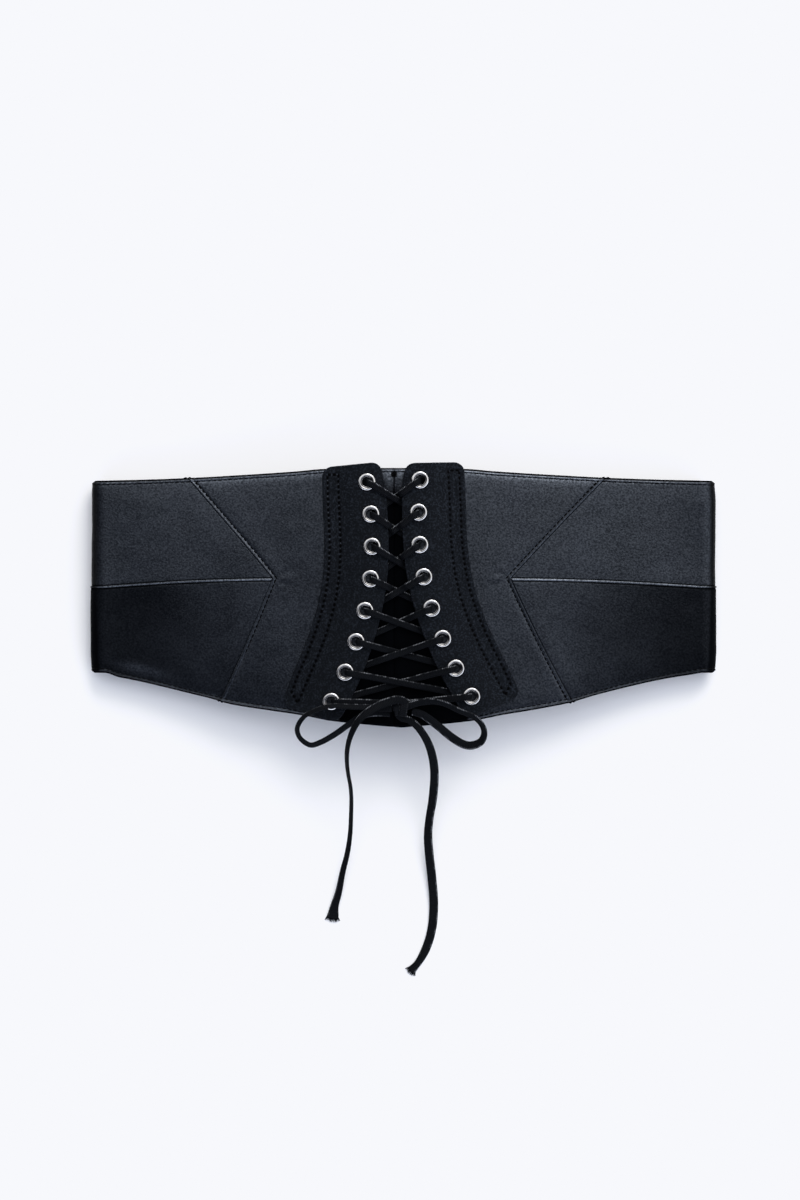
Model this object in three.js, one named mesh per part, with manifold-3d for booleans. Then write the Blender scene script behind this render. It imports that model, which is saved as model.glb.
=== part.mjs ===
// A wide corset belt of smooth leather, lying on its back panel with the laced front upwards.
// Sizes are millimetres. X runs from fold to fold, Y from the lower to the upper edge, and Z up
// from the surface that the belt lies on. Shares are parts of the size that they belong to.

import * as THREE from 'three';
import * as BufferGeometryUtils from 'three/addons/utils/BufferGeometryUtils.js';
import Module from 'manifold-3d';

const wasm = await Module();
wasm.setup();

// The loop of leather as it lies, measured over its outer faces.
const LAID_WIDTH = 350;
const FOLD_HEIGHT = 16;
const CREST_HEIGHT = 31;
const CROWN = 2.5;
const LEATHER_WALL = 2.2;
const SEAM_GAP = 0.4;
const CLEARANCE = 0.3;

// How far the edges lie above and below the origin, at the folds and at the middle of the front.
const FOLD_TOP = 63;
const FOLD_BOTTOM = -43.1;
const FRONT_TOP = 69.9;
const FRONT_BOTTOM = -73.7;

// The front's middle lies a little left of the middle between the folds, more so at the top.
const TOP_MIDDLE = -6.4;
const BOTTOM_MIDDLE = -1.2;
const CENTRE_SEAM = -5.3;

// The arrow seams: how far each lies from the middle between the folds at its point and its ends.
const POINT_HEIGHT = 9;
const FOLD_SEAM_HEIGHT = 4.8;
const SEAM_SAG_POWER = 1.8;
const LEFT_SEAM = { side: -1, point: 73.1, top: 120.9, bottom: 102.8 };
const RIGHT_SEAM = { side: 1, point: 59.7, top: 113.3, bottom: 94.6 };

// The closure strip that joins the two back ends from inside.
const CLOSURE_WIDTH = 26;
const CLOSURE_WALL = 1.5;
const CLOSURE_INSET = 3;

// The laced flaps, measured in their own frame: down along the lacing's middle, and out from it.
const FLAP_WALL = 1.4;
const LACING_TOP = new THREE.Vector2(-5.88, 72.12);
const LACING_TILT = THREE.MathUtils.degToRad(2.1);
const FLAP_LENGTH = 143;
// The flap's fixed side is shorter than its free side.
const FLAP_OUTER_LENGTH = 0.92 * FLAP_LENGTH;
const FLAP_SPREAD = 65.3;
const FLAP_CORNER = 4.5;
// Share of the flap's fixed side over which it comes down to the leather.
const LIFT_END = 0.75;

// The eyelets follow the flap's free edge, in even steps from near its top to near its bottom.
const EYELET_COUNT = 8;
const EYELET_INSET = 9.2;
const FIRST_EYELET = 9;
const EYELET_PITCH = (0.944 * FLAP_LENGTH - FIRST_EYELET) / (EYELET_COUNT - 1);
const EYELET_BORE = 4.9;
const EYELET_WALL = 0.4;
const EYELET_SPREAD = 9.9;
const EYELET_ROLL = 0.9;
const WASHER_SPREAD = 8;
const WASHER_WALL = 0.4;
const EYELET_SIDES = 12;

// The flat lace, its knot and its bow.
const LACE_WIDTH = 4;
const LACE_WALL = 1.1;
const LACE_END = 5;
const KNOT_WIDTH = 8;
const KNOT_DEPTH = 7;
const KNOT_HEIGHT = 5;
const KNOT_PLACE = new THREE.Vector2(-1.9, -63.2);
// In the narrow gap between the flaps the lace is drawn in to a share of the gap, and it starts to
// drop a share of the gap past each flap's edge.
const LACE_PINCH = 0.26;
const DROP_START = 0.09;
const DROP_LIMIT = LACE_WIDTH / 4;

// The edges of the belt between the front's middle, reach 0, and a fold, reach 1. A share of 1 is
// the edge's height at the middle and 0 its height at the fold.
const EDGE_ROWS = [
  { reach: 0, top: 1, bottom: 1 },
  { reach: 0.12, top: 0.985, bottom: 0.945 },
  { reach: 0.24, top: 0.92, bottom: 0.875 },
  { reach: 0.33, top: 0.74, bottom: 0.778 },
  { reach: 0.45, top: 0.55, bottom: 0.667 },
  { reach: 0.56, top: 0.4, bottom: 0.542 },
  { reach: 0.66, top: 0.27, bottom: 0.368 },
  { reach: 0.76, top: 0.17, bottom: 0.222 },
  { reach: 0.87, top: 0.08, bottom: 0.1 },
  { reach: 1, top: 0, bottom: 0 },
];

// A flap's two long edges: down is a share of the flap's length, inner and outer are shares of
// its spread.
const FLAP_ROWS = [
  { down: 0, inner: 0.104, outer: 0.605 },
  { down: 0.147, inner: 0.064, outer: 0.61 },
  { down: 0.273, inner: 0.06, outer: 0.608 },
  { down: 0.385, inner: 0.07, outer: 0.623 },
  { down: 0.483, inner: 0.1, outer: 0.657 },
  { down: 0.594, inner: 0.156, outer: 0.726 },
  { down: 0.706, inner: 0.237, outer: 0.824 },
  { down: 0.818, inner: 0.335, outer: 0.937 },
  { down: 0.916, inner: 0.443, outer: 1.02 },
  { down: 1, inner: 0.55, outer: 1.09 },
];

// The free cords from the knot, point by point along their middle line.
const LEFT_LOOP = [
  [-6.4, -63.4, 33.2], [-18.7, -62.9, 34], [-30.5, -62.4, 35.4], [-39, -62, 35.9],
  [-45, -62.9, 35.3], [-51.1, -65.4, 34], [-54.9, -67.6, 32.9], [-58.3, -71.9, 30.9],
  [-59.3, -75.6, 29], [-57.6, -80.2, 27.2], [-51.9, -84, 26.4], [-46.2, -82.4, 27],
  [-38.2, -77.9, 28.8], [-30.2, -72.2, 30.9], [-23.4, -67.8, 31.6], [-16.5, -66, 31.4],
  [-7.4, -66.2, 31],
];
const RIGHT_LOOP = [
  [1.8, -62.4, 33.4], [8.5, -60.2, 33.8], [15, -59.4, 34.6], [22.2, -60.6, 35.6],
  [31.3, -64.8, 36.2], [39.3, -68.2, 35.7], [43.8, -72.8, 33.6], [45, -77.3, 31.2],
  [43.3, -81.9, 28.9], [38.1, -84.2, 27.7], [33.6, -83.6, 27.8], [26.7, -79.5, 29],
  [19.9, -73.9, 30.6], [10.8, -67.1, 31.8], [4.8, -65.2, 32],
];
const LEFT_TAIL = [
  [-2.2, -58.6, 34.6], [-9.8, -60.1, 35.6], [-17.4, -63.7, 36], [-24.2, -69.1, 35],
  [-28.6, -76.5, 32.4], [-31.2, -85.3, 28.6], [-31.6, -93.6, 24.6], [-30.8, -101, 21],
  [-29.7, -107.2, 18.2], [-29.2, -114, 15.4], [-29.4, -124, 12], [-29.9, -134, 9.2],
  [-31.4, -144.6, 6.7], [-34.2, -156, 4.2], [-36.5, -167.4, 2.2], [-38.8, -175.3, 1.2],
  [-39.9, -182.2, 0.8],
];
const RIGHT_TAIL = [
  [-1.2, -68.8, 30.6], [3, -69.9, 30.7], [8.4, -74.4, 30.4], [13.4, -82.2, 27.6],
  [16.2, -90.6, 23.6], [17.2, -97.6, 20], [17.3, -103.6, 17], [16.9, -109.5, 14.4],
  [16.2, -116, 11.8], [14.6, -125.6, 8.8], [13.8, -135.4, 6.4], [14.6, -147, 4.2],
  [15.9, -158.6, 2.6], [17, -173, 1.4], [16.2, -186.5, 0.8], [13.1, -198, 0.7],
  [8.6, -206.4, 0.7], [4.2, -211.6, 0.7],
];

// Sections of the lace, as shares of its width and its wall.
const HELD_SECTION = [[0.5, 0], [0.35, 0.5], [-0.35, 0.5], [-0.5, 0], [-0.35, -0.5], [0.35, -0.5]];
const FREE_SECTION = [
  [0.5, 0.2], [0.35, 0.5], [-0.35, 0.5], [-0.5, 0.2],
  [-0.5, -0.2], [-0.35, -0.5], [0.35, -0.5], [0.5, -0.2],
];

// Cuts in the meshes.
const SEAM_TO_EDGE_ROWS = 4;
const FRONT_COLUMNS = 8;
const SIDE_COLUMNS = 9;
const FOLD_COLUMNS = 8;
const BACK_COLUMNS = 4;
const FLAP_GRID_ROWS = 14;
const FLAP_GRID_COLUMNS = 6;
const CORD_STEPS = { loop: 18, tail: 22 };
const KNOT_SIDES = 10;
const KNOT_RINGS = 7;
const CORNER_STEPS = 3;
const WALK_STEPS = 60;
const PROBE = 0.5;

const COLOURS = {
  leather: new THREE.MeshStandardMaterial({ color: 0x26282e, roughness: 0.42, metalness: 0 }),
  suede: new THREE.MeshStandardMaterial({ color: 0x181a1f, roughness: 0.95, metalness: 0 }),
  steel: new THREE.MeshStandardMaterial({ color: 0xc9ccd2, roughness: 0.2, metalness: 1 }),
  lace: new THREE.MeshStandardMaterial({ color: 0x111318, roughness: 0.75, metalness: 0 }),
};

const belt = new THREE.Group();
const lerp = THREE.MathUtils.lerp;
const smooth = (low, high, value) => THREE.MathUtils.smoothstep(value, low, high);

// Smooth reading of one column of a table at a place between its rows, never past their values.
function readTable(rows, key, column, place) {
  const last = rows.length - 2;
  const found = rows.findIndex((row) => place < row[key]) - 1;
  const index = place <= rows[0][key] ? 0 : found < 0 ? last : found;
  const slopeAfter = (i) => {
    const next = rows[i + 1];
    return (next[column] - rows[i][column]) / (next[key] - rows[i][key]);
  };
  const slopeAt = (i) => {
    if (i === 0) return slopeAfter(0);
    if (i === rows.length - 1) return slopeAfter(i - 1);
    const before = slopeAfter(i - 1);
    const after = slopeAfter(i);
    return before * after <= 0 ? 0 : (2 * before * after) / (before + after);
  };
  const start = rows[index];
  const end = rows[index + 1];
  const span = end[key] - start[key];
  const share = (place - start[key]) / span;
  if (share < 0) return start[column] + slopeAt(index) * span * share;
  if (share > 1) return end[column] + slopeAt(index + 1) * span * (share - 1);
  const square = share * share;
  const cube = square * share;
  return (
    (2 * cube - 3 * square + 1) * start[column] +
    (cube - 2 * square + share) * span * slopeAt(index) +
    (3 * square - 2 * cube) * end[column] +
    (cube - square) * span * slopeAt(index + 1)
  );
}

// The loop of leather, by its middle surface.
const foldRadius = (FOLD_HEIGHT - LEATHER_WALL) / 2;
const foldCentre = LAID_WIDTH / 2 - LEATHER_WALL / 2 - foldRadius;

function reachFrom(middle, x) {
  const fold = Math.sign(x - middle) * foldCentre;
  return x === middle ? 0 : Math.min(1, (x - middle) / (fold - middle));
}

function topEdge(x) {
  const share = readTable(EDGE_ROWS, 'reach', 'top', reachFrom(TOP_MIDDLE, x));
  return lerp(FOLD_TOP, FRONT_TOP, share);
}

function bottomEdge(x) {
  const share = readTable(EDGE_ROWS, 'reach', 'bottom', reachFrom(BOTTOM_MIDDLE, x));
  return lerp(FOLD_BOTTOM, FRONT_BOTTOM, share);
}

// Height of the level seam, which runs on as an unsewn line through the front panels.
function levelSeam(x) {
  const seam = x < 0 ? LEFT_SEAM : RIGHT_SEAM;
  const share = THREE.MathUtils.clamp((Math.abs(x) - seam.point) / (foldCentre - seam.point), 0, 1);
  return lerp(POINT_HEIGHT, FOLD_SEAM_HEIGHT, Math.pow(share, SEAM_SAG_POWER));
}

// Rise is 0 on the level seam, 1 on the top edge and -1 on the bottom edge.
function heightAtRise(x, rise) {
  const edge = rise > 0 ? topEdge(x) : bottomEdge(x);
  return lerp(levelSeam(x), edge, Math.abs(rise));
}

function riseAtHeight(x, y) {
  const seam = levelSeam(x);
  const edge = y > seam ? topEdge(x) : bottomEdge(x);
  return (y - seam) / Math.abs(edge - seam);
}

// Height of the front's middle surface above the ground.
function frontLevel(x, y) {
  const reach = reachFrom((TOP_MIDDLE + BOTTOM_MIDDLE) / 2, x);
  const rise = riseAtHeight(x, y);
  const arch = (CREST_HEIGHT - CROWN - FOLD_HEIGHT) * 0.5 * (1 + Math.cos(Math.PI * reach));
  const crown = CROWN * (1 - rise * rise) * (1 - smooth(0.75, 1, reach));
  return FOLD_HEIGHT - LEATHER_WALL / 2 + arch + crown;
}

function slopeNormal(level, x, y) {
  const slopeX = (level(x + PROBE, y) - level(x - PROBE, y)) / (2 * PROBE);
  const slopeY = (level(x, y + PROBE) - level(x, y - PROBE)) / (2 * PROBE);
  return new THREE.Vector3(-slopeX, -slopeY, 1).normalize();
}

function frontPlace(x, rise) {
  const y = heightAtRise(x, rise);
  const point = new THREE.Vector3(x, y, frontLevel(x, y));
  return { point, normal: slopeNormal(frontLevel, x, y) };
}

// Turn runs from 0 at the front end of a fold to 1 at its back end.
function foldPlace(side, turn, rise) {
  const angle = Math.PI * (0.5 - turn);
  const edgeX = side * foldCentre;
  const normal = new THREE.Vector3(side * Math.cos(angle), 0, Math.sin(angle));
  const centre = new THREE.Vector3(edgeX, heightAtRise(edgeX, rise), FOLD_HEIGHT / 2);
  return { point: centre.addScaledVector(normal, foldRadius), normal };
}

function backPlace(x, side, rise) {
  const y = heightAtRise(side * foldCentre, rise);
  return { point: new THREE.Vector3(x, y, LEATHER_WALL / 2), normal: new THREE.Vector3(0, 0, -1) };
}

function arrowSeam(seam, rise) {
  const end = rise > 0 ? seam.top : seam.bottom;
  return lerp(seam.point, end, Math.abs(rise));
}

// Meshes from grids: a sheet of places becomes a closed wall, and rings of corners a closed bar.
function closedGeometry(points, triangles) {
  const geometry = new THREE.BufferGeometry();
  const positions = points.flatMap((point) => [point.x, point.y, point.z]);
  geometry.setAttribute('position', new THREE.Float32BufferAttribute(positions, 3));
  const volume = triangles.reduce((sum, [a, b, c]) => {
    const cross = new THREE.Vector3().crossVectors(points[b], points[c]);
    return sum + points[a].dot(cross);
  }, 0);
  const outward = volume < 0 ? triangles.map(([a, b, c]) => [a, c, b]) : triangles;
  geometry.setIndex(outward.flat());
  geometry.computeVertexNormals();
  return geometry;
}

function thickSheet(grid, wall) {
  const rows = grid.length;
  const columns = grid[0].length;
  const faces = [wall / 2, -wall / 2].map((offset) =>
    grid.flat().map(({ point, normal }) => point.clone().addScaledVector(normal, offset)),
  );
  const points = faces.flat();
  const under = rows * columns;
  const at = (row, column) => row * columns + column;
  const triangles = [];
  const addQuad = (a, b, c, d) => triangles.push([a, b, c], [a, c, d]);
  for (let row = 0; row < rows - 1; row += 1) {
    for (let column = 0; column < columns - 1; column += 1) {
      const here = at(row, column);
      const corners = [here, here + 1, here + 1 + columns, here + columns];
      addQuad(...corners);
      addQuad(...corners.map((corner) => corner + under).reverse());
    }
  }
  const rim = [];
  for (let column = 0; column < columns - 1; column += 1) rim.push(at(0, column));
  for (let row = 0; row < rows - 1; row += 1) rim.push(at(row, columns - 1));
  for (let column = columns - 1; column > 0; column -= 1) rim.push(at(rows - 1, column));
  for (let row = rows - 1; row > 0; row -= 1) rim.push(at(row, 0));
  rim.forEach((corner, index) => {
    const next = rim[(index + 1) % rim.length];
    addQuad(next, corner, corner + under, next + under);
  });
  return closedGeometry(points, triangles);
}

// Flat cord through stations, each with its point, its width and the level direction of its width.
function flatCord(stations, wall, section) {
  const points = [];
  const triangles = [];
  const last = stations.length - 1;
  stations.forEach(({ point, width, across }, index) => {
    const before = stations[Math.max(0, index - 1)].point;
    const after = stations[Math.min(last, index + 1)].point;
    const along = after.clone().sub(before).normalize();
    const level = across.clone().addScaledVector(along, -along.dot(across)).normalize();
    const up = new THREE.Vector3().crossVectors(along, level);
    section.forEach(([out, high]) => {
      points.push(point.clone().addScaledVector(level, out * width).addScaledVector(up, high * wall));
    });
  });
  const sides = section.length;
  for (let ring = 0; ring < last; ring += 1) {
    for (let side = 0; side < sides; side += 1) {
      const a = ring * sides + side;
      const b = ring * sides + ((side + 1) % sides);
      triangles.push([a, b, b + sides], [a, b + sides, a + sides]);
    }
  }
  for (let side = 1; side < sides - 1; side += 1) {
    triangles.push([0, side + 1, side]);
    triangles.push([last * sides, last * sides + side, last * sides + side + 1]);
  }
  return closedGeometry(points, triangles);
}

function toSolid(geometry) {
  const bare = geometry.clone();
  bare.deleteAttribute('normal');
  bare.deleteAttribute('uv');
  const merged = BufferGeometryUtils.mergeVertices(bare, 1e-4);
  const mesh = new wasm.Mesh({
    numProp: 3,
    vertProperties: new Float32Array(merged.attributes.position.array),
    triVerts: new Uint32Array(merged.index.array),
  });
  return new wasm.Manifold(mesh);
}

function toGeometry(solid) {
  const mesh = solid.getMesh();
  const geometry = new THREE.BufferGeometry();
  geometry.setAttribute('position', new THREE.Float32BufferAttribute(mesh.vertProperties, 3));
  geometry.setIndex(Array.from(mesh.triVerts));
  geometry.computeVertexNormals();
  return geometry;
}

function addPiece(name, geometry, material) {
  const mesh = new THREE.Mesh(geometry, material);
  mesh.name = name;
  belt.add(mesh);
  return mesh;
}

// Leather panels.
const shares = (count) => Array.from({ length: count + 1 }, (_, index) => index / count);
const frontRises = shares(2 * SEAM_TO_EDGE_ROWS).map((share) => 2 * share - 1);

function frontPanel(seam) {
  const grid = frontRises.map((rise) => {
    const inner = CENTRE_SEAM + (seam.side * SEAM_GAP) / 2;
    const outer = seam.side * (arrowSeam(seam, rise) - SEAM_GAP / 2);
    return shares(FRONT_COLUMNS).map((share) => frontPlace(lerp(inner, outer, share), rise));
  });
  return thickSheet(grid, LEATHER_WALL);
}

// A side panel lies above or below the level seam and runs round the fold to the middle of the
// back.
function sidePanel(seam, half) {
  const grid = shares(SEAM_TO_EDGE_ROWS).map((share) => {
    const seamShare = SEAM_GAP / 2 / (FOLD_TOP - FOLD_SEAM_HEIGHT);
    const rise = half * lerp(seamShare, 1, share);
    const front = seam.side * (arrowSeam(seam, rise) + SEAM_GAP / 2);
    const fold = seam.side * foldCentre;
    const back = (seam.side * SEAM_GAP) / 2;
    return [
      ...shares(SIDE_COLUMNS).map((along) => frontPlace(lerp(front, fold, along), rise)),
      ...shares(FOLD_COLUMNS).slice(1).map((turn) => foldPlace(seam.side, turn, rise)),
      ...shares(BACK_COLUMNS).slice(1).map((along) => backPlace(lerp(fold, back, along), seam.side, rise)),
    ];
  });
  return thickSheet(grid, LEATHER_WALL);
}

function closureStrip() {
  const length = FOLD_TOP - FOLD_BOTTOM - 2 * CLOSURE_INSET;
  const strip = new THREE.BoxGeometry(CLOSURE_WIDTH, length, CLOSURE_WALL);
  const level = LEATHER_WALL + CLEARANCE + CLOSURE_WALL / 2;
  return strip.translate(0, (FOLD_TOP + FOLD_BOTTOM) / 2, level);
}

// The flaps, in their own frame: side -1 or 1, out from the lacing's middle, down from its top.
const downDirection = new THREE.Vector2(Math.sin(LACING_TILT), -Math.cos(LACING_TILT));
const outDirection = new THREE.Vector2(Math.cos(LACING_TILT), Math.sin(LACING_TILT));

function planPlace(side, out, down) {
  return LACING_TOP.clone()
    .addScaledVector(outDirection, side * out)
    .addScaledVector(downDirection, down);
}

const innerEdge = (down) => FLAP_SPREAD * readTable(FLAP_ROWS, 'down', 'inner', down / FLAP_LENGTH);
const outerEdge = (down) => FLAP_SPREAD * readTable(FLAP_ROWS, 'down', 'outer', down / FLAP_LENGTH);

// Length along the free edge for each step down the flap.
function innerEdgeStretch(down) {
  return Math.hypot(1, (innerEdge(down + PROBE) - innerEdge(down - PROBE)) / (2 * PROBE));
}

// The free side of a flap stands off the leather, by a lace and a washer under the eyelets.
const laceRoom = LACE_WALL + 2 * CLEARANCE;
const edgeLift = laceRoom + CLEARANCE;
const eyeletLift = laceRoom + WASHER_WALL + 2 * CLEARANCE;

function flapUnder(side, out, down) {
  const { x, y } = planPlace(side, out, down);
  const inset = (out - innerEdge(down)) / innerEdgeStretch(down);
  const level = EYELET_INSET + WASHER_SPREAD / 2 + LACE_WALL;
  const width = (outerEdge(down) - innerEdge(down)) / innerEdgeStretch(down);
  const rising = eyeletLift * (1 - smooth(level, lerp(level, width, LIFT_END), inset));
  const drooping = (eyeletLift - edgeLift) * (1 - smooth(0, EYELET_INSET - EYELET_SPREAD / 2, inset));
  return frontLevel(x, y) + LEATHER_WALL / 2 + CLEARANCE + rising - drooping;
}

// Middle of the flap's wall, with its upward direction.
function flapPlace(side, out, down) {
  const level = (a, b) => flapUnder(side, a, b);
  const tilt = slopeNormal(level, out, down);
  const normal = new THREE.Vector3(0, 0, tilt.z);
  normal.x = side * tilt.x * outDirection.x + tilt.y * downDirection.x;
  normal.y = side * tilt.x * outDirection.y + tilt.y * downDirection.y;
  normal.normalize();
  const { x, y } = planPlace(side, out, down);
  const under = new THREE.Vector3(x, y, level(out, down));
  return { point: under.addScaledVector(normal, FLAP_WALL / 2), normal };
}

// Eyelets stand at even steps along a line at a constant inset from the flap's free edge.
function eyeletLine(down) {
  return { out: innerEdge(down) + EYELET_INSET * innerEdgeStretch(down), down };
}

function eyeletStations() {
  const stations = [eyeletLine(FIRST_EYELET)];
  const step = EYELET_PITCH / WALK_STEPS;
  while (stations.length < EYELET_COUNT) {
    let here = stations[stations.length - 1];
    for (let walked = 0; walked < EYELET_PITCH - step / 2; walked += step) {
      const slope = (eyeletLine(here.down + step).out - here.out) / step;
      here = eyeletLine(here.down + step / Math.hypot(1, slope));
    }
    stations.push(here);
  }
  return stations;
}
const eyelets = eyeletStations();

// Points of a rounded corner between two neighbours of a sharp one.
function roundCorner(before, corner, after) {
  const start = corner.clone().lerp(before, Math.min(1, FLAP_CORNER / corner.distanceTo(before)));
  const end = corner.clone().lerp(after, Math.min(1, FLAP_CORNER / corner.distanceTo(after)));
  return new THREE.QuadraticBezierCurve(start, corner, end).getPoints(CORNER_STEPS);
}

function flapOutline(side) {
  const inner = (down) => planPlace(side, innerEdge(down), down);
  const outer = (down) => planPlace(side, outerEdge(down), down);
  const steps = shares(FLAP_GRID_ROWS).slice(1, -1);
  const inside = steps.map((share) => inner(share * FLAP_LENGTH)).reverse();
  const outside = steps.map((share) => outer(share * FLAP_OUTER_LENGTH));
  const topInner = inner(0);
  const topOuter = outer(0);
  const bottomOuter = outer(FLAP_OUTER_LENGTH);
  const bottomInner = inner(FLAP_LENGTH);
  return [
    ...roundCorner(inside[inside.length - 1], topInner, topOuter),
    ...roundCorner(topInner, topOuter, outside[0]),
    ...outside.slice(0, -1),
    ...roundCorner(outside[outside.length - 1], bottomOuter, bottomInner),
    ...roundCorner(bottomOuter, bottomInner, inside[0]),
    ...inside.slice(1),
  ];
}

function eyeletHole(side, station) {
  const radius = EYELET_BORE / 2 + EYELET_WALL + 1.5 * CLEARANCE;
  const centre = planPlace(side, station.out, station.down);
  return shares(EYELET_SIDES).slice(0, -1).map((share) => {
    const angle = 2 * Math.PI * share;
    return new THREE.Vector2(centre.x + radius * Math.cos(angle), centre.y + radius * Math.sin(angle));
  });
}

function eyeletFlap(side) {
  const margin = CLEARANCE;
  const grid = shares(FLAP_GRID_ROWS).map((along) => {
    const down = lerp(-margin, FLAP_LENGTH + margin, along);
    const from = innerEdge(down) - margin;
    const to = outerEdge(down) + margin;
    return shares(FLAP_GRID_COLUMNS).map((across) => flapPlace(side, lerp(from, to, across), down));
  });
  const shape = new THREE.Shape(flapOutline(side));
  shape.holes = eyelets.map((station) => new THREE.Path(eyeletHole(side, station)));
  const cutter = new THREE.ExtrudeGeometry(shape, { depth: 2 * CREST_HEIGHT, bevelEnabled: false });
  return toGeometry(toSolid(thickSheet(grid, FLAP_WALL)).intersect(toSolid(cutter)));
}

// One eyelet about its own axis, with the middle of the flap's wall at height 0.
function eyeletGeometry() {
  const bore = EYELET_BORE / 2;
  const barrel = bore + EYELET_WALL;
  const seat = FLAP_WALL / 2 + CLEARANCE;
  const profile = [
    [bore, -seat - WASHER_WALL],
    [WASHER_SPREAD / 2, -seat - WASHER_WALL],
    [WASHER_SPREAD / 2, -seat],
    [barrel, -seat],
    [barrel, seat],
    [EYELET_SPREAD / 2, seat],
    [EYELET_SPREAD / 2 - EYELET_ROLL / 2, seat + EYELET_ROLL],
    [bore, seat + EYELET_ROLL],
    [bore, -seat - WASHER_WALL],
  ];
  const corners = profile.map(([out, up]) => new THREE.Vector2(out, up));
  return new THREE.LatheGeometry(corners, EYELET_SIDES).rotateX(Math.PI / 2);
}

function addEyelets(side, name) {
  eyelets.forEach((station, index) => {
    const { point, normal } = flapPlace(side, station.out, station.down);
    const eyelet = addPiece(`${name}_${index + 1}`, eyeletGeometry(), COLOURS.steel);
    eyelet.position.copy(point);
    eyelet.quaternion.setFromUnitVectors(new THREE.Vector3(0, 0, 1), normal);
  });
}

// The lacing. A strand leaves an eyelet upwards, crosses over and ends below the other flap's
// next one.
const passOver = FLAP_WALL / 2 + 2 * CLEARANCE + EYELET_ROLL + LACE_WALL / 2;
const passUnder = FLAP_WALL / 2 + 2 * CLEARANCE + WASHER_WALL + LACE_WALL / 2;
const lowCrossing = 1.5 * CLEARANCE + LACE_WALL / 2;
const flapEdgeTop = CLEARANCE + edgeLift + FLAP_WALL + CLEARANCE + LACE_WALL / 2;
const highCrossing = lowCrossing + LACE_WALL + 1.5 * CLEARANCE;

// Share of the way from one eyelet to another at which the line leaves the first one's flap.
function edgeShare(side, from, to) {
  let inside = 0;
  let outside = 0.5;
  for (let round = 0; round < 30; round += 1) {
    const share = (inside + outside) / 2;
    const out = lerp(from.out, -to.out, share);
    const down = lerp(from.down, to.down, share);
    if (out > innerEdge(down)) inside = share;
    else outside = share;
  }
  return inside;
}

// A place over or under a flap, moved along the flap in a level direction.
function besideFlap(place, height, level, distance) {
  const along = level.clone().projectOnPlane(place.normal).normalize();
  return place.point.clone().addScaledVector(place.normal, height).addScaledVector(along, distance);
}

function strandStations(side, from, to, over) {
  const start = planPlace(side, from.out, from.down);
  const end = planPlace(-side, to.out, to.down);
  const length = start.distanceTo(end);
  const leaving = edgeShare(side, from, to) * length;
  const entering = length - edgeShare(-side, to, from) * length;
  const heading = end.clone().sub(start).normalize();
  const across = new THREE.Vector3(-heading.y, heading.x, 0).multiplyScalar(Math.sign(heading.x));
  const gap = entering - leaving;
  const crossWidth = Math.min(LACE_WIDTH, LACE_PINCH * gap);
  const halfFlat = (0.5 * crossWidth * (from.out + to.out)) / (to.down - from.down);
  const margin = Math.min(DROP_LIMIT, DROP_START * gap);
  const middle = (leaving + entering) / 2;
  const overLeather = (distance, height) => {
    const { x, y } = start.clone().addScaledVector(heading, distance);
    return new THREE.Vector3(x, y, frontLevel(x, y) + LEATHER_WALL / 2 + height);
  };
  const upper = flapPlace(side, from.out, from.down);
  const lower = flapPlace(-side, to.out, to.down);
  const acrossUpper = across.clone().projectOnPlane(upper.normal).normalize();
  const acrossLower = across.clone().projectOnPlane(lower.normal).normalize();
  const level = new THREE.Vector3(heading.x, heading.y, 0);
  const rim = EYELET_SPREAD / 2 + LACE_WALL / 2;
  const washer = WASHER_SPREAD / 2;
  const cross = over ? highCrossing : lowCrossing;
  const beneath = CLEARANCE + LACE_WALL / 2 + CLEARANCE / 2;
  const station = (point, width, along = across) => ({ point, width, across: along });
  const above = (distance) => besideFlap(upper, passOver, level, distance);
  const below = (distance) => besideFlap(lower, -passUnder, level, -distance);
  return [
    station(above(CLEARANCE), LACE_WIDTH, acrossUpper),
    station(above(rim), LACE_WIDTH, acrossUpper),
    station(overLeather(leaving + margin, flapEdgeTop), crossWidth),
    station(overLeather(middle - halfFlat, cross), crossWidth),
    station(overLeather(middle + halfFlat, cross), crossWidth),
    station(overLeather(entering - margin, beneath), crossWidth),
    station(below(washer), LACE_WIDTH, acrossLower),
    station(below(CLEARANCE), LACE_WIDTH, acrossLower),
  ];
}

// Middle of the lace inside an eyelet, turned halfway between its ways in and out.
function holeStation(side, seat, before, after) {
  const { point } = flapPlace(side, seat.out, seat.down);
  const across = before.clone().add(after).normalize();
  return { point, width: LACE_WIDTH, across };
}

function lacing(firstSide) {
  const stations = [];
  let side = firstSide;
  const first = flapPlace(side, eyelets[0].out, eyelets[0].down);
  const outward = new THREE.Vector3(side * outDirection.x, side * outDirection.y, 0);
  const startAcross = new THREE.Vector3(-outward.y, outward.x, 0).multiplyScalar(side);
  const hidden = (distance) => besideFlap(first, -passUnder, outward, distance);
  stations.push({ point: hidden(LACE_END), width: LACE_WIDTH, across: startAcross });
  stations.push({ point: hidden(CLEARANCE), width: LACE_WIDTH, across: startAcross });
  for (let level = 0; level < EYELET_COUNT - 1; level += 1) {
    const over = (level % 2 === 0) === (side < 0);
    const strand = strandStations(side, eyelets[level], eyelets[level + 1], over);
    const before = stations[stations.length - 1].across;
    stations.push(holeStation(side, eyelets[level], before, strand[0].across));
    stations.push(...strand);
    side = -side;
  }
  stations.push(...lastStations(side, stations[stations.length - 1].across));
  return flatCord(stations, LACE_WALL, HELD_SECTION);
}

const knotCentre = new THREE.Vector3(
  KNOT_PLACE.x,
  KNOT_PLACE.y,
  frontLevel(KNOT_PLACE.x, KNOT_PLACE.y) + LEATHER_WALL / 2 + CLEARANCE + KNOT_HEIGHT / 2,
);

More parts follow.
